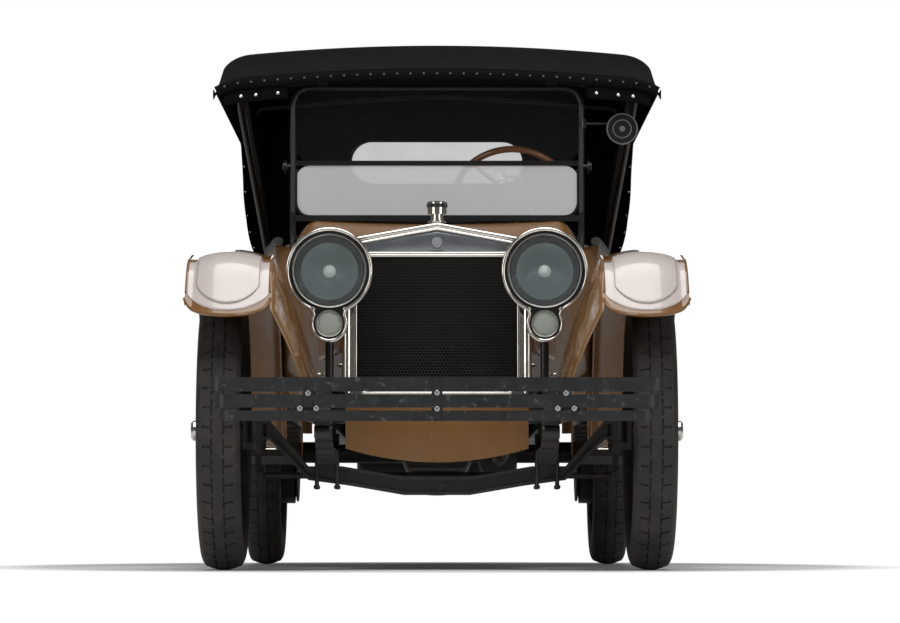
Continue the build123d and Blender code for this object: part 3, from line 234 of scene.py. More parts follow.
def enamel(name, colour, dull, wear, worn_colour=(0.16, 0.15, 0.14)):
    """Painted metal: gloss varies with a fine noise, and wear shows the colour below in patches."""
    shader = Shader(name, IOR=1.5)
    patches = shader.ramp(shader.noise(38, 6, 0.65), 0.64 - wear, 0.72 - wear)
    tint = shader.mix(shader.noise(4, 4), colour, tuple(min(1, c * 1.6 + 0.006) for c in colour))
    gloss = shader.ramp(shader.noise(22, 5), 0.3, 0.75, dull * 0.75, dull * 1.35)
    shader.set(Base_Color=shader.mix(patches * 0.7, tint, worn_colour), Roughness=gloss + patches * 0.15)
    shader.bump(shader.noise(260, 3) + shader.noise(60, 4) * 2, 0.0004, 0.5)
    return shader


frame_enamel = enamel("frame_enamel", (0.012, 0.011, 0.011), 0.33, 0.02)
axle_enamel = enamel("axle_enamel", (0.014, 0.012, 0.011), 0.45, 0.05, (0.07, 0.045, 0.03))
iron = enamel("cast_iron", (0.05, 0.048, 0.045), 0.7, 0.08, (0.09, 0.05, 0.03))
for name in ("chassis_frame", "fuel_tank", "spare_carrier"):
    dress(nodes[name], frame_enamel)
for name in ("front_axle", "rear_axle", "leaf_springs", "tie_rod", "knuckle_left", "knuckle_right"):
    dress(nodes[name], axle_enamel)
for name in ("engine_block", "exhaust"):
    dress(nodes[name], iron)


def piece(name, points, faces, body, *shaders, smooth=True, replaces=(), slot=None):
    """Mesh object from points and faces: doubles merged, faces turned outward, riding on its body."""
    mesh = bpy.data.meshes.new(name)
    mesh.from_pydata(np.asarray(points).reshape(-1, 3).tolist(), [], np.asarray(faces).tolist())
    work = bmesh.new()
    work.from_mesh(mesh)
    bmesh.ops.remove_doubles(work, verts=work.verts, dist=2e-6)
    bmesh.ops.recalc_face_normals(work, faces=work.faces)
    work.to_mesh(mesh)
    work.free()
    if smooth:
        mesh.polygons.foreach_set("use_smooth", np.ones(len(mesh.polygons), bool))
        mesh.set_sharp_from_angle(angle=radians(40))
    obj = bpy.data.objects.new(name, mesh)
    scene.collection.objects.link(obj)
    dress(obj, *shaders)
    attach(obj, body)
    if replaces:
        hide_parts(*replaces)
    return obj


def thicken(obj, thickness):
    """Wall of a sheet, laid inside its outer face by a modifier."""
    obj.modifiers.new("thickness", "SOLIDIFY").thickness = thickness


def grid_faces(rows, columns, wrap_rows=False, wrap_columns=False):
    """Quads over a rows x columns grid of points, where index = row * columns + column."""
    row = np.arange(rows if wrap_rows else rows - 1)[:, None]
    column = np.arange(columns if wrap_columns else columns - 1)[None, :]
    below, beside = (row + 1) % rows, (column + 1) % columns
    here, under = row * columns, below * columns
    corners = (here + column, here + beside, under + beside, under + column)
    return np.stack(np.broadcast_arrays(*corners), -1).reshape(-1, 4)


def joined(*parts):
    """Several (points, faces) pairs as one pair; every face has four corners."""
    shift = np.cumsum([0] + [len(p) for p, _ in parts[:-1]])
    return np.concatenate([p for p, _ in parts]), np.concatenate([f + s for (_, f), s in zip(parts, shift)])


def swept(path, normal, profile, closed=False):
    """Profile carried along a flat path: point = path + u * normal + v * (tangent x normal)."""
    path = np.asarray(path, float)
    profile = np.asarray(profile, float)
    normal = np.asarray(normal, float) / np.linalg.norm(normal)
    ahead = np.roll(path, -1, 0) - np.roll(path, 1, 0)
    if not closed:
        ahead[0], ahead[-1] = path[1] - path[0], path[-1] - path[-2]
    ahead /= np.linalg.norm(ahead, axis=1)[:, None]
    across = np.cross(ahead, normal)
    across /= np.linalg.norm(across, axis=1)[:, None]
    rings = path[:, None] + profile[None, :, :1] * normal + profile[None, :, 1:] * across[:, None]
    if not closed:
        ends = [np.repeat(rings[k].mean(0)[None, None], len(profile), 1) for k in (0, -1)]
        rings = np.concatenate([ends[0], rings, ends[1]])
    return rings.reshape(-1, 3), grid_faces(len(rings), len(profile), closed, True)


def circle(radius, sides=10):
    """Round profile for swept()."""
    turn = np.linspace(0, 2 * pi, sides, endpoint=False)
    return np.stack([radius * np.cos(turn), radius * np.sin(turn)], -1)


def slab(width, depth, round_off=0.3):
    """Flat bar profile with its corners taken off by a share of its depth."""
    c, w, d = depth * round_off, width / 2, depth / 2
    right = [(w - c, -d), (w, -d + c), (w, d - c), (w - c, d)]
    return np.array([(-w, -d + c), (-w + c, -d), *right, (-w + c, d), (-w, d - c)])


def turned(profile, centre, axis, sides=40):
    """Lathe form of a profile (along, radius): centre + along * axis + radius * (cos f * e + sin f * g)."""
    axis = np.asarray(axis, float) / np.linalg.norm(axis)
    first = np.cross(axis, (0.0, 0.0, 1.0) if abs(axis[2]) < 0.9 else (1.0, 0.0, 0.0))
    first /= np.linalg.norm(first)
    second = np.cross(axis, first)
    turn = np.linspace(0, 2 * pi, sides, endpoint=False)
    round_about = np.cos(turn)[:, None] * first + np.sin(turn)[:, None] * second
    profile = np.asarray(profile, float)
    rings = np.asarray(centre, float) + profile[:, None, :1] * axis + profile[:, None, 1:] * round_about[None]
    return rings.reshape(-1, 3), grid_faces(len(profile), sides, False, True)


def spread(part, places, turns=None):
    """The same small shape at each place; turns gives each copy a 3 x 3 matrix."""
    points, faces = part
    places = np.asarray(places, float)
    turns = np.broadcast_to(np.eye(3), (len(places), 3, 3)) if turns is None else np.asarray(turns, float)
    moved = np.einsum("kij,nj->kni", turns, points) + places[:, None]
    shift = np.arange(len(places))[:, None, None] * len(points)
    return moved.reshape(-1, 3), (faces[None] + shift).reshape(-1, 4)


def bolt(radius, height, axis, sides=6):
    """Bolt head with a small dome, standing on the origin."""
    return turned([(0, 0), (0, radius), (height * 0.8, radius), (height, radius * 0.8), (height * 1.15, 0)],
                  (0, 0, 0), axis, sides)


def arc(centre, radius, start, stop, steps, across=(1, 0, 0), up=(0, 0, 1)):
    """Points of an arc: centre + radius * (cos f * across + sin f * up), angles in degrees."""
    turn = np.radians(np.linspace(start, stop, steps))[:, None]
    return np.asarray(centre) + radius * (np.cos(turn) * np.asarray(across) + np.sin(turn) * np.asarray(up))


def filleted(corners, rounds, step=0.02):
    """Path through corners with arcs; each starts radius * tan(turn / 2) before its corner."""
    corners = np.asarray(corners, float)
    path = [corners[:1]]
    for before, corner, after, radius in zip(corners, corners[1:], corners[2:], rounds):
        back, on = ((end - corner) / np.linalg.norm(end - corner) for end in (before, after))
        half = np.arccos(np.clip(back @ on, -1, 1)) / 2
        middle = corner + (back + on) / np.linalg.norm(back + on) * radius / sin(half)
        start, stop = corner + back * radius / np.tan(half), corner + on * radius / np.tan(half)
        swing = pi - 2 * half
        share = np.linspace(0, 1, max(4, int(radius * swing / step)))[:, None]
        bend = np.sin((1 - share) * swing) * (start - middle) + np.sin(share * swing) * (stop - middle)
        path.append(middle + bend / sin(swing))
    path.append(corners[-1:])
    path = np.concatenate(path)
    length = np.concatenate([[0], np.cumsum(np.linalg.norm(np.diff(path, axis=0), axis=1))])
    even = np.linspace(0, length[-1], max(2, int(length[-1] / step)))
    return np.stack([np.interp(even, length, path[:, k]) for k in range(3)], -1)


# Rows of spring_seats: across, station, foot of the bolts, top of the seat.
spring_seats = ((0.3675, 0.0, 0.272, 0.408), (0.470, wheelbase, 0.498, 0.586))
leg_half, rail_face = 0.034, 0.3908
u_bolts = []
for side in (-1, 1):
    for centre_x, station, foot, top in spring_seats:
        for y in (aft(station - 0.048), aft(station + 0.048)):
            legs = np.array([(centre_x * side + k * leg_half, y, foot) for k in (-1, 1)])
            bend = arc((centre_x * side, y, top - 0.022), leg_half, 180, 0, 9, up=(0, 0, 0.65))
            u_bolts.append(swept(np.concatenate([legs[:1], bend, legs[1:]]), (0, 1, 0), circle(0.006, 8)))
            u_bolts.append(spread(bolt(0.011, 0.012, (0, 0, -1)), legs + (0, 0, 0.010)))
piece("spring_u_bolts", *joined(*u_bolts), "chassis", axle_enamel, slot="spring_black")

rivets = [(side * rail_face, aft(station + dy), z) for side in (-1, 1) for station in (1.40, 1.96, 2.76)
          for dy in (-0.018, 0.018) for z in (0.565, 0.59)]
outward = [np.array([[np.sign(x), 0, 0], [0, 1, 0], [0, 0, 1]]) for x, _, _ in rivets]
piece("frame_rivets", *spread(bolt(0.009, 0.006, (1, 0, 0), 10), rivets, outward), "chassis", frame_enamel,
      slot="frame_black")

# Radiator: nickelled shell with a rolled moulding, fine honeycomb core, blank round badge and knurled cap.
nickel = Shader("nickel", Metallic=1.0, IOR=1.8)
smudge = nickel.ramp(nickel.noise(14, 6, 0.6), 0.35, 0.75)
nickel.set(Base_Color=nickel.mix(smudge * 0.6, (0.84, 0.80, 0.74), (0.68, 0.64, 0.58)),
           Roughness=smudge * 0.14 + nickel.noise(180, 3) * 0.06 + 0.05)
nickel.bump(nickel.noise(35, 3), 0.0004, 0.25)
tank_nickel = Shader("tank_nickel", Metallic=1.0)
tank_nickel.blend(tank_nickel.noise(9, 5, 0.6), (0.30, 0.33, 0.36), (0.50, 0.52, 0.54), 0.2, 0.22)
core_black = Shader("core_black", Metallic=0.4)
core_black.blend(core_black.noise(30, 4), (0.012, 0.011, 0.010), (0.05, 0.045, 0.04), 0.3, 0.4)
badge_enamel = Shader("badge_enamel", Coat_Weight=1.0, Coat_Roughness=0.05)
badge_enamel.blend(badge_enamel.noise(160, 3), (0.20, 0.21, 0.24), (0.42, 0.43, 0.46), 0.2, 0.2)
dress(nodes["radiator_shell"], nickel)
dress(nodes["radiator_core"], core_black)

radiator_face = aft(-0.055)
ahead = (0, -1, 0)


def on_face(*corners):
    """Corners (across, level) laid on the radiator's front face."""
    return [(x, radiator_face, z) for x, z in corners]


shell_line = filleted(on_face((-0.309, 0.60), (-0.309, 1.096), (0, 1.151), (0.309, 1.096), (0.309, 0.60)),
                      (0.062, 0.004, 0.062), 0.006)
core_line = filleted(on_face((0, 0.589), (-0.271, 0.589), (-0.271, 1.048), (0.271, 1.048), (0.271, 0.589),
                             (0.001, 0.589)), (0.036, 0.036, 0.036, 0.036), 0.006)
tank_line = filleted(on_face((0, 1.0575), (-0.268, 1.0575), (-0.268, 1.0885), (0, 1.1365), (0.268, 1.0885),
                             (0.268, 1.0575), (0.001, 1.0575)), (0.004, 0.004, 0.003, 0.004, 0.004), 0.005)
mouldings = [(shell_line, 0.008, 12, False), (shell_line * (0.955, 1, 1) - (0, 0, 0.011), 0.004, 8, False),
             (core_line[:-1], 0.0055, 10, True), (tank_line[:-1], 0.0035, 8, True)]
piece("radiator_mouldings", *joined(*[swept(line, (0, 1, 0), circle(radius, sides), closed)
                                      for line, radius, sides, closed in mouldings]),
      "chassis", nickel, slot="nickel")
x, share = np.meshgrid(np.linspace(-0.264, 0.264, 41), np.linspace(0, 1, 9))
z = 1.061 + share * (0.0245 + 0.0475 * (1 - abs(x) / 0.268))
panel = np.stack([x, radiator_face + 0.0045 - 0.003 * np.sin(pi * share) * np.cos(x * 5.5), z], -1)
thicken(piece("radiator_tank_panel", panel, grid_faces(9, 41), "chassis", tank_nickel, slot="nickel"), 0.001)

# Honeycomb: six-sided cells, each a front ring and six walls that run back to the core.
pitch, depth, core_middle = 0.0115, 0.014, 0.8185
turn = np.radians(np.arange(6) * 60 + 30)
hexagon = np.stack([np.cos(turn), np.zeros(6), np.sin(turn)], -1) * pitch / np.sqrt(3)
cell_points = np.concatenate([hexagon, hexagon * (0.74, 1, 0.74), hexagon * (0.70, 1, 0.70) + (0, depth, 0)])
column, row = np.meshgrid(np.arange(-24, 25), np.arange(-24, 25))
cell_x, cell_z = (column + 0.5 * (row % 2)) * pitch, core_middle + row * pitch * np.sqrt(3) / 2
off_middle = abs(cell_z - core_middle)
inside = (abs(cell_x) < 0.262) & (off_middle < 0.221) & (abs(cell_x) + off_middle < 0.470)
places = np.stack([cell_x[inside], np.full(inside.sum(), aft(-0.052)), cell_z[inside]], -1)
piece("radiator_honeycomb", *spread((cell_points, grid_faces(3, 6, False, True)), places), "chassis",
      core_black, smooth=False, slot="core_black")

badge_centre = (0, radiator_face, 1.093)
piece("radiator_badge", *turned([(0.004, 0), (0.004, 0.018), (0.0055, 0.0185), (0.0055, 0.0225), (0, 0.0235),
                                 (-0.012, 0.0235)], badge_centre, ahead), "chassis", nickel, slot="nickel")
piece("radiator_badge_enamel", *turned([(0.0062, 0), (0.0058, 0.010), (0.0045, 0.0182), (0.001, 0.0182)],
                                       badge_centre, ahead), "chassis", badge_enamel)
teeth, cap_y = 96, aft(-0.0125)
turn = np.linspace(0, 2 * pi, teeth, endpoint=False)
knurl = 0.0335 + 0.0014 * (np.arange(teeth) % 2)
rings = [(1.212, 0.033 + 0 * knurl), (1.213, knurl), (1.223, knurl), (1.2245, 0.033 + 0 * knurl)]
cap = [np.stack([r * np.cos(turn), cap_y + r * np.sin(turn), np.full(teeth, z)], -1) for z, r in rings]
piece("radiator_cap_knurl", cap, grid_faces(4, teeth, False, True), "chassis", frame_enamel, smooth=False,
      slot="nickel")
piece("radiator_cap_top", *joined(
    turned([(0, 0.0345), (0.003, 0.034), (0.006, 0.026), (0.0075, 0.012), (0.008, 0)],
           (0, cap_y, 1.2265), (0, 0, 1)),
    turned([(0, 0.030), (0.002, 0.031), (0.006, 0.031), (0.008, 0.022), (0.020, 0.0215)],
           (0, cap_y, 1.160), (0, 0, 1))), "chassis", nickel, slot="nickel")

# Front bumper: three flat spring-steel bars in scuffed black, clamped by a centre strap and two clips.
bumper_black = enamel("bumper_black", (0.016, 0.016, 0.017), 0.36, 0.06, (0.10, 0.10, 0.10))
dress(nodes["front_bumper"], bumper_black)
bumper_face, clip_x = aft(-0.790), 0.407
straps = [swept([(x, bumper_face, low), (x, bumper_face, high)], (1, 0, 0), slab(0.030, 0.006, 0.4))
          for x, low, high in ((0, 0.478, 0.610), (-clip_x, 0.519, 0.570), (clip_x, 0.519, 0.570))]
heads = [(0, bumper_face - 0.002, z) for z in (0.513, 0.5635)]
for x in (-clip_x, clip_x):
    heads += [(x - 0.026, bumper_face - 0.001, 0.514), (x + 0.026, bumper_face - 0.001, 0.514),
              (x, bumper_face - 0.002, 0.562)]
piece("bumper_straps", *joined(*straps), "chassis", bumper_black, slot="bumper_steel")
piece("bumper_bolts", *spread(bolt(0.0085, 0.006, ahead, 12), heads), "chassis", tank_nickel,
      slot="bumper_steel")

# Headlamps: black drums in a keyhole rim of nickel, a parabolic reflector and bulb behind clear glass,
# and a frosted small lamp below, with two screws at the neck of the rim.
lamp_black = enamel("lamp_black", (0.010, 0.010, 0.011), 0.16, -0.04)
dress(nodes["headlamps"], lamp_black)
reflector = Shader("reflector_silver", Metallic=1.0)
reflector.blend(reflector.noise(16, 5, 0.6), (0.55, 0.60, 0.62), (0.34, 0.38, 0.40), 0.25, 0.10)
clear_glass = Shader("clear_glass", Transmission_Weight=1.0, IOR=1.45, Base_Color=(0.93, 0.97, 0.96))
clear_glass.set(Roughness=clear_glass.ramp(clear_glass.noise(25, 4), 0.5, 0.9, 0.0, 0.05))
frosted_glass = Shader("frosted_glass", Transmission_Weight=0.35, IOR=1.45)
frosted_glass.blend(frosted_glass.noise(300, 2), (0.50, 0.54, 0.48), (0.66, 0.70, 0.62), 0.3, 0.3,
                    frosted_glass.noise(500, 2))
frosted_glass.bump(frosted_glass.noise(700, 2), 0.0004, 0.6)
dress(nodes["headlamp_lenses"], clear_glass)
lamp_glow = Shader("bulb_glass", Transmission_Weight=0.2, IOR=1.45)
lamp_glow.blend(lamp_glow.noise(80), (0.85, 0.86, 0.84), (0.95, 0.95, 0.92), 0.1, 0.05, lamp_glow.noise(60))
lamp_level, small_level = 0.985, 0.811


def keyhole_line(upper, lower, neck, steps=64):
    """Closed keyhole in the lamp's front plane: two circles joined by arcs of radius neck outside both."""
    gap, far, near = lamp_level - small_level, upper + neck, lower + neck
    down = (far ** 2 - near ** 2 + gap ** 2) / (2 * gap)
    out = np.sqrt(far ** 2 - down ** 2)
    top_stop = np.degrees(np.arctan2(-down, out))
    low_start = np.degrees(np.arctan2(gap - down, out))
    right = np.concatenate([arc((0, 0, lamp_level), upper, 90, top_stop, steps),
                            arc((out, 0, lamp_level - down), neck, 180 + top_stop, 180 + low_start, 12)[1:-1],
                            arc((0, 0, small_level), lower, low_start, -90, steps // 2)])
    return np.concatenate([right, right[-2:0:-1] * (-1, 1, 1)])


rim_line = keyhole_line(0.1375, 0.0565, 0.026)
deep = np.linspace(0, 1, 14)
bowl = np.stack([-0.007 - 0.080 * (1 - (1 - deep) ** 2), 0.1165 * (1 - deep) + 0.006 * deep], -1)
rims, bowls, bulbs, screws, small = [], [], [], [], []
for side in (-1, 1):
    face = np.array((side * 0.355, aft(-0.250), 0))
    lamp_centre, small_centre = face + (0, 0, lamp_level), face + (0, 0, small_level)
    rims += [swept(rim_line + face, (0, 1, 0), circle(0.0062, 12), True),
             turned([(0.001, 0.1235), (0.0045, 0.122), (0.005, 0.119), (0.002, 0.1165), (-0.004, 0.1165)],
                    lamp_centre, ahead, 72),
             turned([(0.001, 0.0460), (0.004, 0.045), (0.0045, 0.042), (0.002, 0.040), (-0.004, 0.040)],
                    small_centre, ahead)]
    bowls.append(turned(bowl, lamp_centre, ahead, 64))
    bulbs.append(turned([(-0.085, 0.006), (-0.052, 0.008), (-0.046, 0.016), (-0.036, 0.021), (-0.026, 0.018),
                         (-0.019, 0.009), (-0.017, 0)], lamp_centre, ahead, 28))
    screws += [face + (k * 0.052, -0.001, 0.8585) for k in (-1, 1)]
    small.append(turned([(0.0015, 0), (0.0012, 0.020), (-0.001, 0.0385), (-0.004, 0.0400), (-0.0045, 0)],
                        small_centre, ahead))
piece("headlamp_rims", *joined(*rims), "chassis", nickel, slot="nickel")
piece("headlamp_reflectors", *joined(*bowls), "chassis", reflector, slot="nickel")
piece("headlamp_bulbs", *joined(*bulbs), "chassis", lamp_glow, slot="lens_glass")
piece("small_lamp_glasses", *joined(*small), "chassis", frosted_glass, slot="lens_glass")
piece("headlamp_screws", *spread(bolt(0.0055, 0.0025, ahead, 16), screws), "chassis", nickel, slot="nickel")

# Wings: crowned pressed sheets in brown lacquer with a wired edge. Their noses carry a panel with a raised
# oval crown in pale cream, which is a painted reflection of the overhead light on the sloping noses,
# and a sloping valance closes the gap between each front wing and the frame.
def lacquer(name, colour, deep, dust=0.25):
    """Hand-rubbed body lacquer: slow colour change, a clear coat, faint orange peel and dust low down."""
    shader = Shader(name, Coat_Weight=0.8, Coat_Roughness=0.06, IOR=1.5)
    tone = shader.mix(shader.noise(1.3, 5, 0.55), deep, colour)
    low = shader.ramp(shader.z, 0.75, 0.35) * shader.ramp(shader.noise(7, 6, 0.65), 0.35, 0.75) * dust
    shader.set(Base_Color=shader.mix(low, tone, (0.16, 0.12, 0.085)))
    shader.set(Roughness=shader.ramp(shader.noise(12, 5), 0.3, 0.7, 0.20, 0.34) + low * 0.4)
    shader.bump(shader.noise(240, 2) + shader.noise(3.5, 2) * 6, 0.0003, 0.3)
    return shader


brown_lacquer = lacquer("brown_lacquer", (0.275, 0.132, 0.038), (0.195, 0.086, 0.024))
# Pale cream on the wing noses is a painted reflection of the overhead light on their sloping faces.
painted_reflection_cream = lacquer("painted_reflection_cream", (0.66, 0.585, 0.55), (0.61, 0.53, 0.50), 0.1)
rear_axle_y = aft(wheelbase)
for name in ("front_wings", "rear_wings", "splash_aprons", "scuttle", "body_tub", "door_front_left",
             "door_front_right", "door_rear_left", "door_rear_right", "bonnet_top_left", "bonnet_top_right",
             "bonnet_side_left", "bonnet_side_right"):
    dress(nodes[name], brown_lacquer)

wing_middle, wing_half = 0.6795, 0.1395
bow_half, bow_rise = 0.1135, 0.022
front_run = filleted([(0, aft(s), z) for s, z in (
    (-0.505, 0.812), (-0.330, 1.010), (-0.060, 1.050), (0.220, 1.018), (0.520, 0.800), (0.820, 0.425),
    (1.010, 0.425))], (0.3, 0.5, 0.38, 0.52, 0.3), 0.012)
rear_run = filleted([(0, rear_axle_y + s, z) for s, z in (
    (-0.820, 0.425), (-0.650, 0.425), (-0.560, 0.800), (-0.250, 1.038), (0.200, 1.053), (0.520, 0.860),
    (0.600, 0.560))], (0.12, 0.4, 0.42, 0.42, 0.25), 0.015)


def wing_surface(run, u):
    """Outer face of a wing: the run lifted by its crowned section, where u is the offset from its middle."""
    on = np.gradient(run, axis=0)
    on /= np.linalg.norm(on, axis=1)[:, None]
    away = np.stack([0 * on[:, 0], -on[:, 2], on[:, 1]], -1)
    bow = (bow_half ** 2 + bow_rise ** 2) / (2 * bow_rise)
    rise = np.where(abs(u) < bow_half, np.sqrt(np.maximum(bow ** 2 - u ** 2, 0)) - bow + bow_rise, 0)
    return run[:, None] + away[:, None] * rise[None, :, None] + np.stack([u, 0 * u, 0 * u], -1)[None], away


def nose_cut(u):
    """How far up the run the rounded nose begins at each offset: an elliptic lip."""
    return 0.118 * (1 - np.sqrt(np.maximum(1 - 0.97 * (u / wing_half) ** 2, 0)))


def on_wing(grid, side):
    """Points and faces of a grid about the wing's middle, moved to the wing of that side."""
    return (grid * (side, 1, 1) + (side * wing_middle, 0, 0)).reshape(-1, 3), grid_faces(*grid.shape[:2])


def at_length(field):
    """Field (run, offset, axis) read off at the lengths in reach, one column for each offset."""
    return np.stack([np.stack([np.interp(reach[:, k], run_length, field[:, k, axis]) for axis in range(3)],
                              -1) for k in range(field.shape[1])], 1)


run_length = np.concatenate([[0], np.cumsum(np.linalg.norm(np.diff(front_run, axis=0), axis=1))])
skin_u = np.concatenate([np.linspace(-wing_half, -bow_half, 7)[:-1], np.linspace(-bow_half, bow_half, 31),
                         np.linspace(bow_half, wing_half, 7)[1:]])
reach = nose_cut(skin_u)[None] + (run_length[-1] - nose_cut(skin_u))[None] * np.linspace(0, 1, 170)[:, None]
skin_face, skin_away = wing_surface(front_run, skin_u)
skin, skin_out = at_length(skin_face), at_length(np.repeat(skin_away[:, None], len(skin_u), 1))
side_drop = np.array([0.026, 0.013, 0.004])[:, None, None]
left_fold = skin[None, :, 0] - side_drop * skin_out[None, :, 0]
right_fold = (skin[None, :, -1] - side_drop * skin_out[None, :, -1])[::-1]
skin = np.concatenate([left_fold.transpose(1, 0, 2), skin, right_fold.transpose(1, 0, 2)], 1)
curl = skin[0] - skin_out[0, 0] * 0.010 + np.array((0, 0.006, 0.0))
skin = np.concatenate([curl[None], skin])
lip = skin[1, 3:-3] - skin_out[0, 0] * 0.004
beads = []
for side in (-1, 1):
    for run, edges in ((front_run[10:], (-1, 1)), (rear_run, (1,))):
        for edge in edges:
            edge_x = side * wing_middle + edge * side * (wing_half - 0.004)
            beads.append(swept(run + (edge_x, 0, 0), (1, 0, 0), circle(0.0048, 8)))
    beads.append(swept(lip + (side * wing_middle, 0, 0), (0, 0.75, -0.66), circle(0.0062, 8)))
thicken(piece("front_wing_skins", *joined(*[on_wing(skin, side) for side in (-1, 1)]), "chassis",
              brown_lacquer, replaces=["front_wings"], slot="body_brown"), 0.003)
piece("wing_edge_beads", *joined(*beads), "chassis", brown_lacquer, slot="body_brown")

nose_u = np.linspace(-0.134, 0.134, 61)
arch_half = 0.1065
nose_face, nose_away = wing_surface(front_run, nose_u)
arch = 0.034 * np.sqrt(np.maximum(1 - (nose_u / arch_half) ** 2, 0))
nose_top = np.where(abs(nose_u) < arch_half, 1.0165 + arch, 1.010)
nose_foot = 0.812 + 0.75 * (nose_cut(nose_u) + 0.036)
oval_top = 1.0150 + arch
oval_foot = 0.862 + 0.105 * (1 - np.sqrt(np.maximum(1 - (nose_u / 0.1125) ** 2, 0)))


def on_nose(foot, top, lift):
    """Points between two levels at each offset: the wing's crowned face read off by height and lifted."""
    levels = foot + np.linspace(0, 1, 25)[:, None] * (top - foot)
    points = np.empty((*levels.shape, 3))
    front = np.arange(len(nose_face)) < len(nose_face) // 3
    for k in range(len(nose_u)):
        height = np.maximum.accumulate(nose_face[front, k, 2]) + np.arange(front.sum()) * 1e-7
        for axis in range(3):
            lifted = nose_face[front, k, axis] + nose_away[front, axis] * lift
            points[:, k, axis] = np.interp(levels[:, k], height, lifted)
    return points


nose_sheet = on_nose(nose_foot, nose_top, 0.0016)
oval_sheet = on_nose(oval_foot, oval_top, 0.0062)[:, abs(nose_u) < 0.104]
# The nose panels and their oval crowns carry the pale cream painted reflection of the overhead light.
for name, grid, wall in (("wing_nose_panels", nose_sheet, 0.0014), ("wing_nose_crowns", oval_sheet, 0.0045)):
    thicken(piece(name, *joined(*[on_wing(grid, side) for side in (-1, 1)]), "chassis", painted_reflection_cream,
                  slot="body_brown"), wall)

station = np.linspace(aft(-0.470), aft(0.62), 40)
bends = [aft(-0.470), aft(-0.25), aft(0.62)]
wing_edge = np.interp(station, front_run[:, 1], front_run[:, 2])
upper = np.stack([0 * station + 0.541, station, wing_edge - 0.003], -1)
lower = np.stack([np.interp(station, bends, [0.400, 0.394, 0.394]), station,
                  np.interp(station, bends, [0.500, 0.603, 0.603])], -1)
rows = np.linspace(0, 1, 12)[:, None, None]
sheet = upper * (1 - rows) + lower * rows + np.sin(pi * rows) * np.array((-0.014, 0, -0.004))
valances = [((sheet * (side, 1, 1)).reshape(-1, 3), grid_faces(12, 40)) for side in (-1, 1)]
thicken(piece("wing_valances", *joined(*valances), "chassis", brown_lacquer, slot="body_brown"), 0.002)

# Running boards: ribbed rubber mat in a polished edge strip that runs round the board.
rubber_mat = Shader("rubber_mat", IOR=1.45)
scuff = rubber_mat.ramp(rubber_mat.noise(9, 6, 0.7), 0.45, 0.75)
rubber_mat.blend(scuff, (0.018, 0.017, 0.016), (0.065, 0.058, 0.05), 0.2, 0.6)
rubber_mat.bump(rubber_mat.noise(420, 3), 0.0004, 0.5)
dress(nodes["running_boards"], rubber_mat)
board_front, board_back = aft(1.010) + 0.006, rear_axle_y - 0.826
board_in, board_out, board_top = 0.5505, 0.8145, 0.4255
bare_lines = (0.6075, 0.7575)
ribs, strips = [], []
for side in (-1, 1):
    for rib_x in np.linspace(0.566, 0.798, 30):
        if min(abs(rib_x - bare) for bare in bare_lines) > 0.007:
            rib = [(side * rib_x, y, 0.4262) for y in (board_front + 0.02, board_back - 0.02)]
            ribs.append(swept(rib, (1, 0, 0), slab(0.0042, 0.004)))
    ring = filleted([(side * x, y, board_top) for x, y in (
        (0.68, board_front), (board_out, board_front), (board_out, board_back), (board_in, board_back),
        (board_in, board_front), (0.679, board_front))], (0.01, 0.01, 0.01, 0.01), 0.01)
    strips.append(swept(ring, (0, 0, 1), slab(0.0045, 0.008), True))
piece("running_board_ribs", *joined(*ribs), "chassis", rubber_mat, slot="board_rubber")
piece("running_board_strips", *joined(*strips), "chassis", nickel, slot="nickel")

# Bonnet: hinge rods along the ridge and side joints, louvres and lifting handles on the side panels.
ridge = aft(0.040), aft(1.040)
hinge_x, ridge_level, top_fall = 0.2465, 1.150, 0.052
sides = ((1, "left"), (-1, "right"))
piece("bonnet_ridge_rod", *swept([(0, y, 1.1512) for y in ridge], (1, 0, 0), circle(0.0045, 12)),
      "chassis", brown_lacquer, slot="body_brown")


def bonnet_side_x(station):
    """Outer face of the bonnet's side: half width grows from 0.300 to 0.430 along the bonnet."""
    return np.interp(station, [aft(0.036), aft(1.044)], [0.300, 0.430])


level, lean = np.meshgrid(np.linspace(0.735, 0.985, 15), np.linspace(0, 1, 6), indexing="ij")
taper = np.sqrt(np.maximum(1 - ((level - 0.86) / 0.1251) ** 8, 0))
for side, word in sides:
    top_line = np.stack([np.full(2, side * hinge_x), np.array(ridge),
                         ridge_level - top_fall * hinge_x / np.array((0.3005, 0.4295)) + 0.001], -1)
    piece("bonnet_hinge_rod_" + word, *swept(top_line, (1, 0, 0), circle(0.0032, 10)), "bonnet_top_" + word,
          brown_lacquer, slot="body_brown")
    slots = []
    for station in np.linspace(aft(0.20), aft(0.92), 19):
        y = station + lean * 0.020
        out = bonnet_side_x(y) + 0.0005 + 0.0085 * np.sin(pi / 2 * lean) * taper
        slots.append((np.stack([side * out, y, level], -1).reshape(-1, 3), grid_faces(15, 6)))
    thicken(piece("bonnet_louvres_" + word, *joined(*slots), "bonnet_side_" + word, brown_lacquer,
                  slot="body_brown"), 0.001)
    handles = []
    for station in (aft(0.16), aft(0.93)):
        grip_x = side * (bonnet_side_x(station) + 0.018)
        root_x = grip_x - side * 0.017
        grip = [(x, station + dy, 0.69) for x, dy in
                ((root_x, -0.04), (grip_x, -0.04), (grip_x, 0.04), (root_x, 0.04))]
        handles.append(swept(filleted(grip, (0.012, 0.012), 0.004), (0, 0, 1), circle(0.0045)))
    piece("bonnet_handles_" + word, *joined(*handles), "bonnet_side_" + word, nickel, slot="nickel")

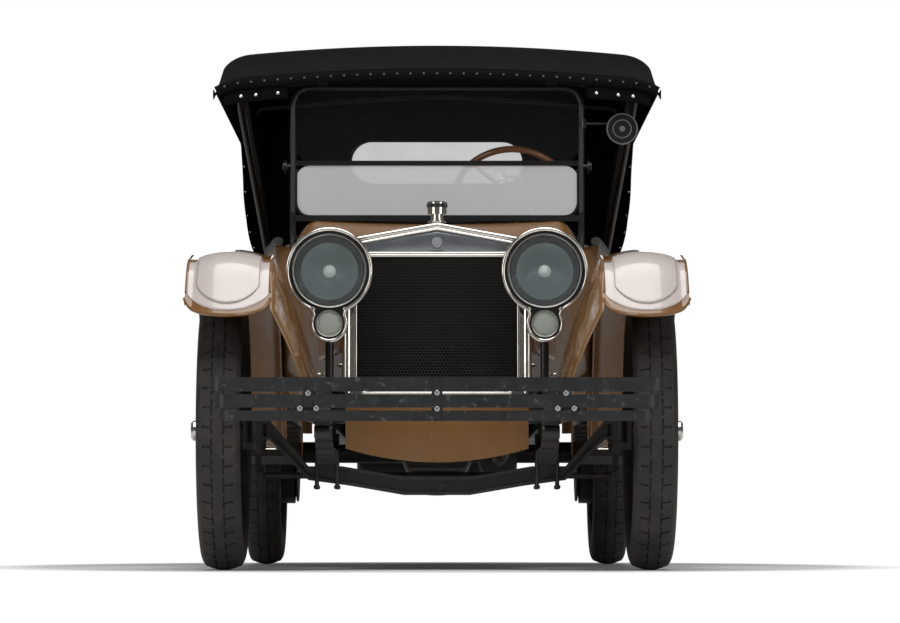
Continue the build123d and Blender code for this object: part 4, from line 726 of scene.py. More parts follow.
# Body: padded leather roll along the belt and the door tops, and a nickelled handle on each door.
def leather(name, colour, deep, grain=420):
    """Grained hide: cell-pattern grain, slow colour change and a worn sheen in random patches."""
    shader = Shader(name, IOR=1.45, Coat_Weight=0.12, Coat_Roughness=0.35)
    wear = shader.ramp(shader.noise(8, 6, 0.65), 0.45, 0.8)
    shader.set(Base_Color=shader.mix(wear, colour, deep),
               Roughness=shader.noise(30, 4) * 0.25 + 0.42 - wear * 0.1)
    shader.bump(shader.cells(grain) + shader.cells(grain * 0.43) * 0.8 + shader.noise(18, 4), 0.0006, 0.7)
    return shader


roll_leather = leather("roll_leather", (0.040, 0.045, 0.040), (0.075, 0.080, 0.070))
seat_leather = leather("seat_leather", (0.030, 0.022, 0.017), (0.060, 0.045, 0.034))
dark_wood = Shader("dark_wood", Coat_Weight=0.6, Coat_Roughness=0.1)
grain = dark_wood.noise(30, 6, 0.6, dark_wood.squeezed(0.6, 9, 9))
dark_wood.blend(grain, (0.20, 0.085, 0.035), (0.075, 0.028, 0.012), 0.2, 0.25)
dark_wood.bump(grain, 0.0003, 0.4)
floor_wood = Shader("floor_wood")
boards = floor_wood.noise(22, 6, 0.6, floor_wood.squeezed(6, 0.5, 6))
floor_wood.blend(boards, (0.13, 0.10, 0.07), (0.05, 0.035, 0.025), 0.2, 0.6)
floor_wood.bump(boards, 0.0006, 0.6)
dress(nodes["dashboard"], dark_wood)
dress(nodes["floor_boards"], floor_wood)

belt_level, roll_inset = 1.196, 0.012
belt = filleted([(x, aft(station), belt_level) for x, station in (
    (0.598, 1.372), (0.655, 1.95), (0.655, 3.96), (-0.655, 3.96), (-0.655, 1.95), (-0.598, 1.372))],
    (1.5, 0.26, 0.26, 1.5), 0.02)
belt[:, 0] -= np.sign(belt[:, 0]) * roll_inset
belt[:, 1] -= np.where(belt[:, 1] > aft(3.9), roll_inset, 0)
turn = np.linspace(0, 2 * pi, 18, endpoint=False)
roll_profile = np.stack([0.0155 * np.sin(turn) + 0.004, 0.019 * np.cos(turn)], -1)
half_run = belt[belt[:, 0] > 0]


def belt_x(station):
    """Half width between the belt rolls at a station."""
    return np.interp(aft(station), half_run[:, 1], half_run[:, 0])


roll_parts = {"chassis": []}
for side, word in sides:
    for body, start, stop in (("chassis", 1.37, 1.494), ("door_front_" + word, 1.506, 1.994),
                              ("chassis", 2.006, 2.334), ("door_rear_" + word, 2.346, 2.824)):
        path = half_run[(half_run[:, 1] >= aft(start)) & (half_run[:, 1] <= aft(stop))]
        ends = [(belt_x(s), aft(s), belt_level) for s in (start, stop)]
        path = np.concatenate([[ends[0]], path, [ends[1]]]) * (side, 1, 1)
        keep = np.concatenate([[True], np.linalg.norm(np.diff(path, axis=0), axis=1) > 0.004])
        roll_parts.setdefault(body, []).append(swept(path[keep], (0, 0, 1), roll_profile))
roll_parts["chassis"].append(swept(belt[belt[:, 1] >= aft(2.836)], (0, 0, 1), roll_profile))
for body, parts in roll_parts.items():
    roll = piece("belt_roll_" + body, *joined(*parts), body, roll_leather, slot="seat_leather")

# The doors lean in by door_in over a height of door_drop.
handle_bar = filleted([(0, 0, 0), (0.030, 0, 0), (0.034, 0.085, 0.004)], (0.014,), 0.004)
handle_level, door_in, door_drop = 1.105, 0.095, 0.57
for side, word in sides:
    for body, station, reach in (("door_front_" + word, 1.915, 1), ("door_rear_" + word, 2.425, -1)):
        side_x = belt_x(station) + roll_inset - door_in * (belt_level - handle_level) / door_drop
        root = (side * side_x, aft(station), handle_level)
        bar = swept(handle_bar * (side, -reach, 1) + root, (0, 0, 1), slab(0.012, 0.008, 0.4))
        rose = turned([(0, 0.019), (0.003, 0.018), (0.006, 0.011), (0.010, 0.009)], root, (side, 0, 0), 24)
        piece("handle_" + body, *joined(bar, rose), body, nickel, slot="nickel")

def cushion(name, low, high, lean, pleats, body, replaces):
    """Rounded block between two corners, swelled by pressure, with channels sewn across it afterwards."""
    most_swell, pleat_depth, pleat_width = 0.024, 0.011, 0.009
    low, high = np.array(low), np.array(high)
    size = high - low
    mesh = bpy.data.meshes.new(name)
    work = bmesh.new()
    bmesh.ops.create_cube(work, size=1.0)
    bmesh.ops.scale(work, vec=tuple(size - 0.016), verts=work.verts)
    bmesh.ops.bevel(work, geom=work.edges[:], offset=0.030, segments=3, affect="EDGES", profile=0.6)
    bmesh.ops.translate(work, vec=tuple((low + high) / 2), verts=work.verts)
    work.to_mesh(mesh)
    work.free()
    obj = bpy.data.objects.new(name, mesh)
    scene.collection.objects.link(obj)
    bpy.context.view_layer.objects.active = obj
    mesh.remesh_voxel_size = 0.011
    with bpy.context.temp_override(active_object=obj, object=obj, selected_objects=[obj]):
        bpy.ops.object.voxel_remesh()
    count = len(mesh.vertices)
    rest = np.empty(count * 3)
    mesh.vertices.foreach_get("co", rest)
    rest = rest.reshape(-1, 3)
    points = rest
    cloth = obj.modifiers.new("cloth", "CLOTH")
    cloth.settings.effector_weights.gravity = 0
    cloth.settings.use_pressure = True
    cloth.settings.uniform_pressure_force = 4
    cloth.settings.quality = 5
    pins = obj.vertex_groups.new(name="pins")
    held = np.nonzero(rest[:, 2] < low[2] + 0.022)[0]
    pins.add(held.tolist(), 1.0, "REPLACE")
    cloth.settings.vertex_group_mass = "pins"
    for step in range(1, 13):
        scene.frame_set(step)
    settled = obj.evaluated_get(bpy.context.evaluated_depsgraph_get()).to_mesh()
    points = np.empty(count * 3)
    settled.vertices.foreach_get("co", points)
    points = points.reshape(-1, 3)
    obj.modifiers.remove(cloth)
    scene.frame_set(1)
    swell = points - rest
    length = np.linalg.norm(swell, axis=1)[:, None]
    points = rest + swell * np.minimum(1, most_swell / np.maximum(length, 1e-9))
    across = (points[:, 0] - low[0]) / size[0] * pleats
    near = abs(across - np.round(across)) * size[0] / pleats
    inner = (across > 0.5) & (across < pleats - 0.5)
    span = np.clip((points - low) / size, 0, 1)
    face = np.clip(1 - 2 * abs(span[:, 1 if lean is None else 2] - 0.5), 0, 1) ** 0.3
    groove = np.where(inner, np.exp(-(near / pleat_width) ** 2), 0) * face
    if lean is None:
        points[:, 2] -= pleat_depth * groove * (span[:, 2] > 0.5)
        points[:, 2] = np.minimum(points[:, 2], high[2] + 0.012)
    else:
        points[:, 1] += pleat_depth * groove * (span[:, 1] < 0.5)
        points[:, 1] += lean * (points[:, 2] - low[2]) / size[2]
    mesh.vertices.foreach_set("co", points.reshape(-1))
    mesh.update()
    mesh.polygons.foreach_set("use_smooth", np.ones(len(mesh.polygons), bool))
    smooth = obj.modifiers.new("finer", "SUBSURF")
    smooth.levels = smooth.render_levels = 1
    dress(obj, seat_leather)
    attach(obj, body)
    if replaces:
        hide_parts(replaces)


# Rows of seat_rows: name and half width; front, back, foot and top of the cushion; front, rear, foot and
# top of the back; the back's lean; number of pleats.
seat_rows = [
    ("front_seat", 0.530, 1.902, 2.330, 0.774, 0.905, 2.290, 2.385, 0.905, 1.240, 0.050, 16),
    ("rear_seat", 0.498, 3.062, 3.640, 0.804, 0.935, 3.600, 3.695, 0.935, 1.270, 0.055, 15),
]
for name, half, front, back, base, top, back_front, back_rear, back_foot, back_top, lean, pleats in seat_rows:
    cushion(name + "_cushion", (-half, aft(front), base), (half, aft(back) - 0.03, top), None, pleats,
            "chassis", name)
    cushion(name + "_back", (-half, aft(back_front), back_foot - 0.02), (half, aft(back_rear), back_top),
            lean, pleats, "chassis", None)

# Dashboard: three plain dials with blank faces in nickelled rims.
dial_face = Shader("dial_face")
dial_face.blend(dial_face.noise(90, 3), (0.60, 0.58, 0.52), (0.72, 0.70, 0.64), 0.2, 0.4, dial_face.noise(50))
dial_rims, dial_faces = [], []
for dial_x, radius in ((-0.10, 0.042), (0.02, 0.042), (0.12, 0.030)):
    centre = (dial_x, aft(1.363), 1.135)
    dial_rims.append(turned([(0, radius), (0.010, radius), (0.013, radius - 0.003), (0.011, radius - 0.007)],
                            centre, (0, 1, 0), 32))
    dial_faces.append(turned([(0, radius - 0.006), (0.010, radius - 0.006), (0.0102, 0)], centre,
                             (0, 1, 0), 32))
piece("dash_dial_rims", *joined(*dial_rims), "chassis", nickel, slot="nickel")
piece("dash_dial_faces", *joined(*dial_faces), "chassis", dial_face)

# Steering: wooden rim on four nickelled spokes, a horn button, and a quadrant ring with two levers.
wheel_centre = np.array((0.285, aft(1.900), 1.408))
column_rake = radians(38)
wheel_axis = np.array((0, cos(column_rake), sin(column_rake)))
steering_wood = Shader("steering_wheel", Coat_Weight=0.7, Coat_Roughness=0.08, IOR=1.5)
off_x, off_y, off_z = (value - float(middle) for value, middle in zip(
    (steering_wood.x, steering_wood.y, steering_wood.z), wheel_centre))
along = off_y * float(wheel_axis[1]) + off_z * float(wheel_axis[2])
distance = (off_x * off_x + off_y * off_y + off_z * off_z - along * along) ** 0.5
wooden = steering_wood.ramp(distance, 0.200, 0.2015)
rim_grain = steering_wood.noise(60, 5, 0.6, steering_wood.squeezed(1, 3, 3))
wood_tone = steering_wood.mix(rim_grain, (0.46, 0.19, 0.075), (0.22, 0.08, 0.03))
steering_wood.set(Base_Color=steering_wood.mix(wooden, (0.72, 0.70, 0.66), wood_tone), Metallic=1 - wooden,
                  Roughness=wooden * 0.1 + rim_grain * 0.1 + 0.12)
dress(nodes["steering_wheel"], steering_wood)
for name in ("steering_column", "levers_pedals"):
    dress(nodes[name], nickel)
first = np.array((1.0, 0, 0))
second = np.cross(wheel_axis, first)
ring = arc(wheel_centre + wheel_axis * 0.026, 0.074, 0, 360, 49, first, second)[:-1]
lever_root = wheel_centre + wheel_axis * 0.024
levers = [swept([lever_root, lever_root + 0.118 * (cos(a) * first + sin(a) * second)], wheel_axis,
                slab(0.004, 0.007)) for a in (-1.9, -1.2)]
button = turned([(0.016, 0.026), (0.020, 0.024), (0.027, 0.018), (0.029, 0)], wheel_centre, wheel_axis, 28)
piece("steering_quadrant", *joined(swept(ring, wheel_axis, slab(0.005, 0.010), True), *levers, button),
      "steering_wheel", nickel, slot="column_nickel")

# Windscreen: black tube frame with a clear upper pane and a lower pane veiled by a pale painted reflection of
# the overhead light, between slim dark rails, wing knobs at the pivots and feet that spread on to the
# scuttle.
screen_black = enamel("screen_black", (0.012, 0.012, 0.013), 0.2, -0.03)
dress(nodes["windscreen_frame"], screen_black)
dress(nodes["side_mirror"], screen_black)
pane = Shader("windscreen_pane", IOR=1.45)
lower_pane = pane.ramp(pane.z, 1.482, 1.480)
# The lower pane's pale colour and part opacity are a painted reflection of the overhead light.
painted_reflection_veil = pane.mix(pane.noise(5, 4), (0.80, 0.81, 0.84), (0.88, 0.89, 0.91))
pane.set(Base_Color=pane.mix(lower_pane, (0.30, 0.32, 0.32), painted_reflection_veil),
         Roughness=pane.ramp(pane.noise(9, 3), 0.3, 0.8, 0.02, 0.08), Alpha=lower_pane * 0.585 + 0.015)
dress(nodes["windscreen_glass"], pane)
screen_y, knob_level = aft(1.300), 1.470
lower_rail = filleted([(x, screen_y, z) for x, z in (
    (-0.518, 1.46), (-0.518, 1.285), (0.0, 1.262), (0.518, 1.285), (0.518, 1.46))], (0.055, 3.0, 0.055),
    0.012)
middle_rail = [(x, screen_y - 0.008, 1.4865) for x in (-0.515, 0.515)]
piece("windscreen_lower_rail", *joined(swept(lower_rail, (0, 1, 0), slab(0.013, 0.016, 0.4)),
                                       swept(middle_rail, (0, 1, 0), slab(0.006, 0.008))),
      "chassis", screen_black, slot="screen_black")
feet, knobs = [], []
for side in (-1, 1):
    foot_line = filleted([(side * x, screen_y + y, z) for x, y, z in (
        (0.529, 0, 1.30), (0.531, 0, 1.215), (0.500, 0.01, 1.190))], (0.03,), 0.008)
    feet.append(swept(foot_line, (0, 1, 0.01), slab(0.032, 0.020, 0.4)))
    knobs += [turned([(0.020, 0.014), (0.024, 0.017), (0.034, 0.017), (0.037, 0.012), (0.040, 0)],
                     (side * 0.529, screen_y, knob_level), (side, 0, 0), 20),
              swept([(side * 0.556, screen_y, knob_level + dz) for dz in (-0.026, 0.026)], (1, 0, 0),
                    slab(0.006, 0.012, 0.4))]

# Crown of the scuttle: a sheet that sweeps from the bonnet's line up to the windscreen's lower rail.
crown_u = np.linspace(-1, 1, 61)[None]
crown_s = np.linspace(0, 1, 16)[:, None]
crown_x = (0.512 - 0.055 * crown_s) * crown_u
station = 1.297 - 0.200 * crown_s + 0 * crown_u
form_half, form_peak, form_edge = (np.interp(station, [1.050, 1.325], ends) for ends in (
    [0.430, 0.515], [1.150, 1.275], [1.098, 1.190]))
form_z = form_peak - (form_peak - form_edge) * abs(crown_x) / form_half
rail_z = 1.258 + 0.018 * crown_u ** 2 - 0.075 * np.clip((abs(crown_u) - 0.86) / 0.14, 0, 1) ** 2
by_rail = (1 - crown_s) ** 1.6
crown_z = np.maximum(rail_z * by_rail + (form_z - 0.004) * (1 - by_rail), form_z - 0.004)
thicken(piece("scuttle_crown", np.stack([crown_x, aft(station), crown_z], -1), grid_faces(16, 61), "chassis",
              brown_lacquer, slot="body_brown"), 0.002)
piece("windscreen_feet", *joined(*feet), "chassis", screen_black, slot="screen_black")
piece("windscreen_knobs", *joined(*knobs), "chassis", screen_black, slot="screen_black")
mirror_centre = np.array((0.680, screen_y, 1.608))
mirror_glass = Shader("mirror_glass", Metallic=1.0)
mirror_glass.blend(mirror_glass.noise(20), (0.85, 0.87, 0.88), (0.78, 0.80, 0.82), 0.04, 0.02,
                   mirror_glass.noise(40))
mirror_rings = [turned(profile, mirror_centre, ahead, steps) for profile, steps in (
    ([(0.006, 0.052), (0.0105, 0.0535), (0.0105, 0.0575), (0.004, 0.0575)], 48),
    ([(0.006, 0.030), (0.0095, 0.0315), (0.0095, 0.0345), (0.006, 0.036)], 48),
    ([(0.006, 0.012), (0.012, 0.010), (0.0125, 0)], 24))]
piece("mirror_back_rings", *joined(*mirror_rings), "chassis", tank_nickel, slot="nickel")
piece("mirror_face", *turned([(0.0072, 0.0555), (0.0082, 0.054), (0.0084, 0)], mirror_centre, (0, 1, 0), 48),
      "chassis", mirror_glass, slot="nickel")

# Folding top: one sheet of black woven top cloth stretched over the bows, with a back curtain and rear
# quarters, a padded header roll tacked along the front, two flaps, studs and a glass pane at the back.
top_cloth = Shader("top_cloth", IOR=1.35)
warp = (top_cloth.x * 2600).math("SINE") * (top_cloth.y * 2600 + top_cloth.z * 1900).math("SINE")
faded = top_cloth.ramp(top_cloth.noise(3, 6, 0.6), 0.35, 0.8)
top_cloth.set(Base_Color=top_cloth.mix(faded, (0.0022, 0.0022, 0.0025), (0.006, 0.0058, 0.0055)),
              Roughness=faded * 0.15 + 0.78, Specular_IOR_Level=0.2)
top_cloth.bump(warp * 0.3 + top_cloth.noise(7, 5) * 2.5, 0.0007, 0.5)
window_glass = Shader("window_glass", IOR=1.45, Roughness=0.1)
window_tone = window_glass.mix(window_glass.noise(4, 4), (0.36, 0.37, 0.37), (0.44, 0.45, 0.45))
window_glass.set(Base_Color=window_tone,
                 Alpha=window_glass.ramp(window_glass.noise(9, 3), 0.3, 0.8, 0.42, 0.48))
bow_wood = Shader("bow_wood", Coat_Weight=0.3)
bow_grain = bow_wood.noise(40, 5, 0.6, bow_wood.squeezed(1, 4, 4))
bow_wood.blend(bow_grain, (0.020, 0.013, 0.009), (0.008, 0.006, 0.005), 0.2, 0.35)
dress(nodes["top_bows"], bow_wood)

roof_stations = np.array([1.192, 1.78, 2.60, 3.40, 3.778])
roof_crowns = np.array([1.8185, 1.975, 2.000, 1.990, 1.940])
roof_half, roof_tail, tail_round, roof_camber = 0.8145, 3.778, 0.150, 0.045
quarter_start, quarter_end, eave_level = 3.262, 3.640, 1.740
quarter_top, quarter_foot, quarter_half, back_slope = 1.790, 1.212, 0.700, 0.180
window_level, window_run, window_round = 1.712, 0.2785, 0.0935


def roof_crown(station):
    """Crown level along the car: straight pulls between the bows that sag 4 mm."""
    along = np.interp(station, roof_stations, np.arange(5))
    return np.interp(station, roof_stations, roof_crowns) - 0.004 * np.sin(pi * (along % 1)) ** 2


def plan_half(station):
    """Half width of the roof in plan, rounded in at the tail."""
    into = np.clip((station - (roof_tail - tail_round)) / tail_round, 0, 1)
    return roof_half - tail_round * (1 - np.sqrt(1 - into ** 2))


def hang_at(level):
    """Share of the way down from the quarters' top to their foot."""
    return np.clip((quarter_top - level) / (quarter_top - quarter_foot), 0, 1)


def drawn_in(hang):
    """Share of its width by which a rear quarter draws in towards the belt."""
    return (hang * 0.1 + hang ** 6 * 0.9) * (1 - quarter_half / roof_half)


stations = np.concatenate([np.linspace(roof_stations[0], roof_tail - tail_round, 82)[:-1],
                           roof_tail - tail_round + tail_round * np.sin(np.linspace(0, pi / 2, 12))])
u = np.sin(np.linspace(-1, 1, 81) * pi / 2 * 0.9) / np.sin(pi / 2 * 0.9)
half_widths = plan_half(stations)[:, None]
roof_x = half_widths * u[None]
edge = np.maximum(half_widths - abs(roof_x), 0)
tail_edge = np.maximum(roof_tail - stations, 0)[:, None]
corner = np.clip(1 - np.minimum(edge, tail_edge + 0.060) / 0.110, 0, 1)
roof_z = (roof_crown(stations)[:, None] - roof_camber * (roof_x / roof_half) ** 2
          - 0.066 * (1 - np.sqrt(1 - corner ** 2)))
roof = np.stack([roof_x, aft(stations)[:, None] + 0 * roof_x, roof_z], -1)

# The rim of the roof carries the walls: a short eave ahead, full rear quarters and the back curtain.
rim = np.concatenate([roof[:-1, 0], roof[-1], roof[-2::-1, -1]])
rim_station = rim[:, 1] - front_axle_y
drop = np.linspace(0, 1, 34)[1:]
wall_foot = np.interp(rim_station, [quarter_start, quarter_end], [eave_level, quarter_foot])
wall_foot[rim_station < quarter_start] = eave_level
wall_z = rim[None, :, 2] + drop[:, None] * (wall_foot - rim[:, 2])[None]
hang = hang_at(wall_z)
draw_in = np.clip((rim_station - quarter_start) / 0.05, 0, 1)[None] * drawn_in(hang)
wall_x = rim[None, :, 0] * (1 - draw_in)
wall_y = rim[None, :, 1] + hang * back_slope * np.clip((rim_station - 3.60) / 0.178, 0, 1)[None] ** 0.5
fold = 0.0025 * np.sin(rim_station * 41)[None] * hang * (abs(rim[:, 0]) > 0.5)[None]
wall = np.concatenate([rim[None], np.stack([wall_x + fold * np.sign(wall_x), wall_y, wall_z], -1)])


def out_of_window(points):
    """Distance of each point from the pane's long middle line, less the pane's end radius."""
    reach = np.hypot(np.maximum(abs(points[:, 0]) - window_run, 0), points[:, 2] - window_level)
    return np.where(points[:, 1] > aft(3.70), reach - window_round, 1.0)


# The window's edge: its points are moved along spokes on to the pane's rounded outline.
wall_points, wall_quads = wall.reshape(-1, 3).copy(), grid_faces(len(wall), len(rim))
in_window = out_of_window(wall_points[wall_quads].mean(1)) < 0
lip = np.intersect1d(wall_quads[in_window], wall_quads[~in_window])
middle_x = np.clip(wall_points[lip, 0], -window_run, window_run)
spoke = np.stack([wall_points[lip, 0] - middle_x, wall_points[lip, 2] - window_level], -1)
spoke *= window_round / np.linalg.norm(spoke, axis=1)[:, None]
wall_points[lip, 0], wall_points[lip, 2] = middle_x + spoke[:, 0], window_level + spoke[:, 1]
canopy = piece("top_canopy_cloth", *joined((roof.reshape(-1, 3), grid_faces(*roof.shape[:2])),
                                           (wall_points, wall_quads[~in_window])),
               "chassis", top_cloth, replaces=["top_canopy"], slot="top_cloth")
thicken(canopy, 0.004)

roll_line = np.linspace(-0.806, 0.806, 90)
roll_path = np.stack([roll_line, np.full(90, aft(1.196)), 1.7965 - roof_camber * (roll_line / roof_half) ** 2
                      - 0.020 * np.clip((abs(roll_line) - 0.72) / 0.09, 0, 1) ** 2], -1)
pad = np.radians(np.arange(0, 360, 22.5))
roll_profile = np.stack([0.011 * np.cos(pad), 0.0245 * np.sin(pad) * (1 - 0.25 * np.sin(pad) ** 4)], -1)
cap_nickel = enamel("cap_nickel", (0.70, 0.68, 0.64), 0.16, 0.0, (0.4, 0.37, 0.32))
cap_nickel.set(Metallic=1.0)
header_roll = piece("top_header_roll", *swept(roll_path, (0, 1, 0), roll_profile), "chassis", top_cloth,
                    slot="top_cloth")
tack_steel = enamel("tack_steel", (0.09, 0.088, 0.085), 0.35, 0.02)
tack_line = np.arange(-16, 17) * 0.0485
tack_places = np.stack([tack_line, np.full(33, aft(1.1845)),
                        np.interp(tack_line, roll_line, roll_path[:, 2]) + 0.004], -1)
piece("top_header_tacks", *spread(bolt(0.0038, 0.0024, (0, -1, 0), 8), tack_places), "chassis", tack_steel,
      slot="top_cloth")
flap_x = np.linspace(0.545, 0.780, 14)[None] + np.zeros((6, 1))
flap_z = np.interp(flap_x, roll_line, roll_path[:, 2]) - np.linspace(0.016, 0.066, 6)[:, None]
flap = np.stack([flap_x, aft(1.202) + 0.003 * np.sin(flap_x * 60), flap_z], -1)
for side, hand in sides[::-1]:
    tab = piece(f"top_front_flap_{hand}", flap * (side, 1, 1), grid_faces(6, 14), "chassis", top_cloth,
                slot="top_cloth")
    thicken(tab, 0.003)
stud_places = [(side * x, aft(1.1985), np.interp(x, roll_line, roll_path[:, 2]) - 0.044)
               for side in (-1, 1) for x in (0.716, 0.662, 0.582)]
piece("top_side_studs", *spread(bolt(0.0058, 0.004, ahead, 12), stud_places), "chassis", cap_nickel,
      slot="top_cloth")
fastener_level = np.array([1.655, 1.556, 1.461, 1.394, 1.332])
fastener_x = roof_half * (1 - drawn_in(hang_at(fastener_level))) - 0.004
edge_share = (eave_level - fastener_level) / (eave_level - quarter_foot)
fastener_y = aft(quarter_start + edge_share * (quarter_end - quarter_start) + 0.022)
fasteners = [spread(bolt(0.006, 0.006, (-side, 0, 0), 10),
                    np.stack([side * fastener_x, fastener_y, fastener_level], -1)) for side in (-1, 1)]
piece("top_quarter_fasteners", *joined(*fasteners), "chassis", cap_nickel, slot="top_cloth")


def pane_at(x, z, reach):
    """Points on the sloping back curtain, reach metres behind its face."""
    return np.stack([x, aft(roof_tail) + back_slope * hang_at(z) + reach, z], -1)


turn = np.linspace(-pi / 2, pi / 2, 24)
half_x, half_z = window_run + window_round * np.cos(turn), window_round * np.sin(turn)
outline_x = np.concatenate([half_x, -half_x])
outline_z = np.concatenate([half_z, half_z[::-1]]) + window_level
shrink = np.array([1.0, 0.72, 0.40, 0.0])[:, None]
pane_points = pane_at(outline_x * shrink, window_level + (outline_z - window_level) * shrink, -0.002)
piece("top_window_pane", pane_points, grid_faces(4, 48, False, True), "chassis", window_glass,
      slot="top_cloth")
piece("top_window_frame", *swept(pane_at(outline_x, outline_z, 0.0), (0, 1, 0), slab(0.012, 0.014), True),
      "chassis", screen_black, slot="top_cloth")

# Tyres: smooth rounded carcass with two dashed grooves round the crown and short cross cuts that run out
# from each dash to the shoulder, 45 to the turn. The spare carries the same tread.
tread_pitches = 45
rubber = Shader("tyre_rubber", IOR=1.45)
rubber_dust = rubber.ramp(rubber.noise(9, 6, 0.6), 0.4, 0.75)
rubber.blend(rubber_dust, (0.022, 0.020, 0.019), (0.058, 0.050, 0.042), 0.2, 0.55)
rubber.bump(rubber.noise(420, 4) + rubber.noise(34, 5) * 2, 0.0005, 0.5)
tyre_radius, crown_bow = 465, 111.1
crown_cuts = np.array([0.0, 8, 16.2, 17.2, 20.8, 21.8, 28, 35, 42, 48.5, 49.5])
crown_radius = tyre_radius - (crown_bow - np.sqrt(crown_bow ** 2 - crown_cuts ** 2))
wall_arc = np.radians(np.linspace(64, -62, 15))
wall_across, wall_radius = 43.0 + 29.7 * np.cos(wall_arc), 410.0 + 47 * np.sin(wall_arc)
half_across = np.concatenate([crown_cuts, wall_across, [35.5, 34.0]])
half_radius = np.concatenate([crown_radius, wall_radius, [360, 345]])
across = np.concatenate([-half_across[:0:-1], half_across]) / 1000
outward_radius = np.concatenate([half_radius[:0:-1], half_radius]) / 1000
in_groove = (abs(across) > 0.0167) & (abs(across) < 0.0213)
in_cut = (abs(across) > 0.0203) & (abs(across) < 0.0490)
pitch_nodes = np.array([0, 0.10, 0.115, 0.30, 0.44, 0.455, 0.545, 0.56, 0.70, 0.885, 0.90])
share = (np.arange(tread_pitches)[:, None] + pitch_nodes).ravel() / tread_pitches
inside = share * tread_pitches % 1
dash, cut = (inside > 0.11) & (inside < 0.89), (inside > 0.45) & (inside < 0.55)
sunk = np.maximum(dash[:, None] * in_groove[None], cut[:, None] * in_cut[None]) * 0.005


def tyre(name, centre, axle, away, body, node):
    """Grid over turn and profile: centre + across * axle + (radius - sunk) * (cos f * away + sin f * up)."""
    axle, away = np.asarray(axle, float), np.asarray(away, float)
    up = np.cross(axle, away)
    around = np.cos(2 * pi * share)[:, None] * away + np.sin(2 * pi * share)[:, None] * up
    radius = outward_radius[None] - sunk
    points = np.asarray(centre) + across[None, :, None] * axle + radius[..., None] * around[:, None]
    faces = grid_faces(len(share), len(across), True, True)
    return piece(name, points, faces, body, rubber, replaces=[node], slot="tyre")


wheel_track, wheel_level = 0.711, 0.465
corners = [("front_left", 1, front_axle_y), ("front_right", -1, front_axle_y), ("rear_left", 1, rear_axle_y),
           ("rear_right", -1, rear_axle_y)]
for corner_name, side, station in corners:
    tyre(f"tread_{corner_name}", (side * wheel_track, station, wheel_level), (1, 0, 0), (0, 1, 0),
         f"wheel_{corner_name}", f"tyre_{corner_name}")
tyre("tread_spare", (0, 2.554, 0.760), (0, 1, 0), (1, 0, 0), "chassis", "spare_tyre")

# Wheels: varnished wooden spokes and felloes, black steel rims with clamp lugs, bolted hub flanges and
# nickelled eight-sided caps.
def wheel_finish(name, station, side):
    """Wood, black steel and nickel by the distance from the wheel's axis."""
    shader = Shader(name, Coat_Weight=0.5)
    from_axle_y, from_axle_z = shader.y - station, shader.z - wheel_level
    radius = (from_axle_y * from_axle_y + from_axle_z * from_axle_z) ** 0.5
    rim_part = radius.math("GREATER_THAN", 0.329)
    hub_part = radius.math("LESS_THAN", 0.0675)
    cap_part = (shader.x * side).math("GREATER_THAN", wheel_track + 0.061) * hub_part
    drum_part = (shader.x * side).math("LESS_THAN", wheel_track - 0.032)
    grain = shader.noise(60, 5, 0.6, shader.squeezed(1.5, 0.6, 0.6))
    wood = shader.mix(grain, (0.20, 0.095, 0.035), (0.085, 0.038, 0.014))
    grime = shader.ramp(shader.noise(14, 6, 0.6), 0.45, 0.75)
    steel = shader.mix(grime, (0.014, 0.013, 0.012), (0.07, 0.06, 0.05))
    dark = rim_part.math("MAXIMUM", drum_part).math("MAXIMUM", hub_part)
    base = shader.mix(cap_part, shader.mix(dark, shader.mix(grime * 0.4, wood, (0.05, 0.04, 0.03)), steel),
                      (0.72, 0.70, 0.66))
    shader.set(Base_Color=base, Metallic=cap_part, Coat_Weight=(1 - dark) * 0.5,
               Roughness=(1 - cap_part) * (grime * 0.2 + 0.22) + 0.12)
    shader.bump(grain + shader.noise(180, 3), 0.0004, 0.5)
    return shader


def round_about(centre, radius, reach, angle):
    """Places on a circle round a hub, reach metres outboard of the wheel's middle."""
    return centre + np.stack([side * reach + 0 * angle, radius * np.cos(angle), radius * np.sin(angle)], -1)


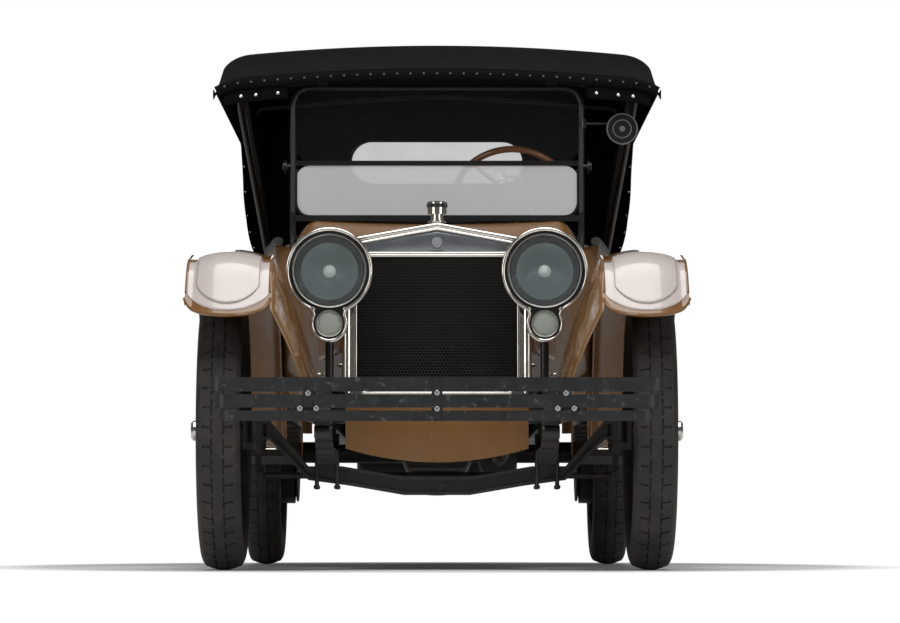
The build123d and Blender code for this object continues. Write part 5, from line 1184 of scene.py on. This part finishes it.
hub_steel = enamel("hub_steel", (0.03, 0.028, 0.026), 0.4, 0.04)
turn = np.arange(12) * pi / 6 + pi / 12
lug = turned([(0, 0), (0, 0.017), (0.007, 0.016), (0.009, 0.009), (0.009, 0.008), (0.017, 0.008), (0.018, 0)],
             (0, 0, 0), (1, 0, 0), 12)
for corner_name, side, station in corners:
    body = f"wheel_{corner_name}"
    dress(nodes[body], wheel_finish(f"wheel_finish_{corner_name}", station, side))
    centre = np.array([side * wheel_track, station, wheel_level])
    outside = np.array([[side, 0, 0], [0, 1, 0], [0, 0, 1]], float)
    nuts = spread(bolt(0.0075, 0.007, (1, 0, 0)), round_about(centre, 0.052, 0.0215, turn), [outside] * 12)
    lugs = spread(lug, round_about(centre, 0.318, 0.0255, turn[::2]), [outside] * 6)
    piece(f"wheel_nuts_{corner_name}", *joined(nuts, lugs), body, hub_steel, slot="wheel_wood")
    ring = turned([(0.068, 0.0338), (0.068, 0.0362), (0.073, 0.0368), (0.078, 0.0362), (0.078, 0.0338)],
                  centre, (side, 0, 0), 36)
    flats = turned([(0.1108, 0), (0.1108, 0.020), (0.1035, 0.0215), (0.1015, 0.0275)], centre,
                   (side, 0, 0), 8)
    piece(f"wheel_cap_{corner_name}", *joined(ring, flats), body, cap_nickel, slot="wheel_wood")
    valve = turned([(-0.010, 0), (-0.010, 0.0042), (0.020, 0.0042), (0.020, 0.0055), (0.032, 0.0055),
                    (0.034, 0)], centre + np.array([side * 0.029, 0, -0.286]), (0, 0, -1), 10)
    piece(f"wheel_valve_{corner_name}", *valve, body, cap_nickel, slot="wheel_wood")

# Tail lamp: black drum with a nickel bezel and a deep red ribbed glass.
red_glass = Shader("tail_glass", IOR=1.5, Coat_Weight=0.6)
red_glass.blend(red_glass.noise(18, 4), (0.34, 0.008, 0.006), (0.18, 0.004, 0.004), 0.2, 0.08,
                red_glass.noise(30, 3))
red_glass.bump((red_glass.z * 1500).math("SINE"), 0.0008, 0.6)
dress(nodes["tail_lamp"], lamp_black)
tail_centre = (0.690, aft(4.2065), 0.650)
piece("tail_lamp_glass", *turned([(-0.001, 0.036), (0.0012, 0.034), (0.004, 0.024), (0.0052, 0.012),
                                  (0.0056, 0)], tail_centre, (0, 1, 0), 36), "chassis", red_glass,
      slot="lamp_black")
piece("tail_lamp_bezel", *turned([(-0.008, 0.0435), (-0.002, 0.0440), (0.003, 0.042), (0.0045, 0.039),
                                  (0.003, 0.036), (-0.001, 0.0355)], tail_centre, (0, 1, 0), 40),
      "chassis", cap_nickel, slot="lamp_black")
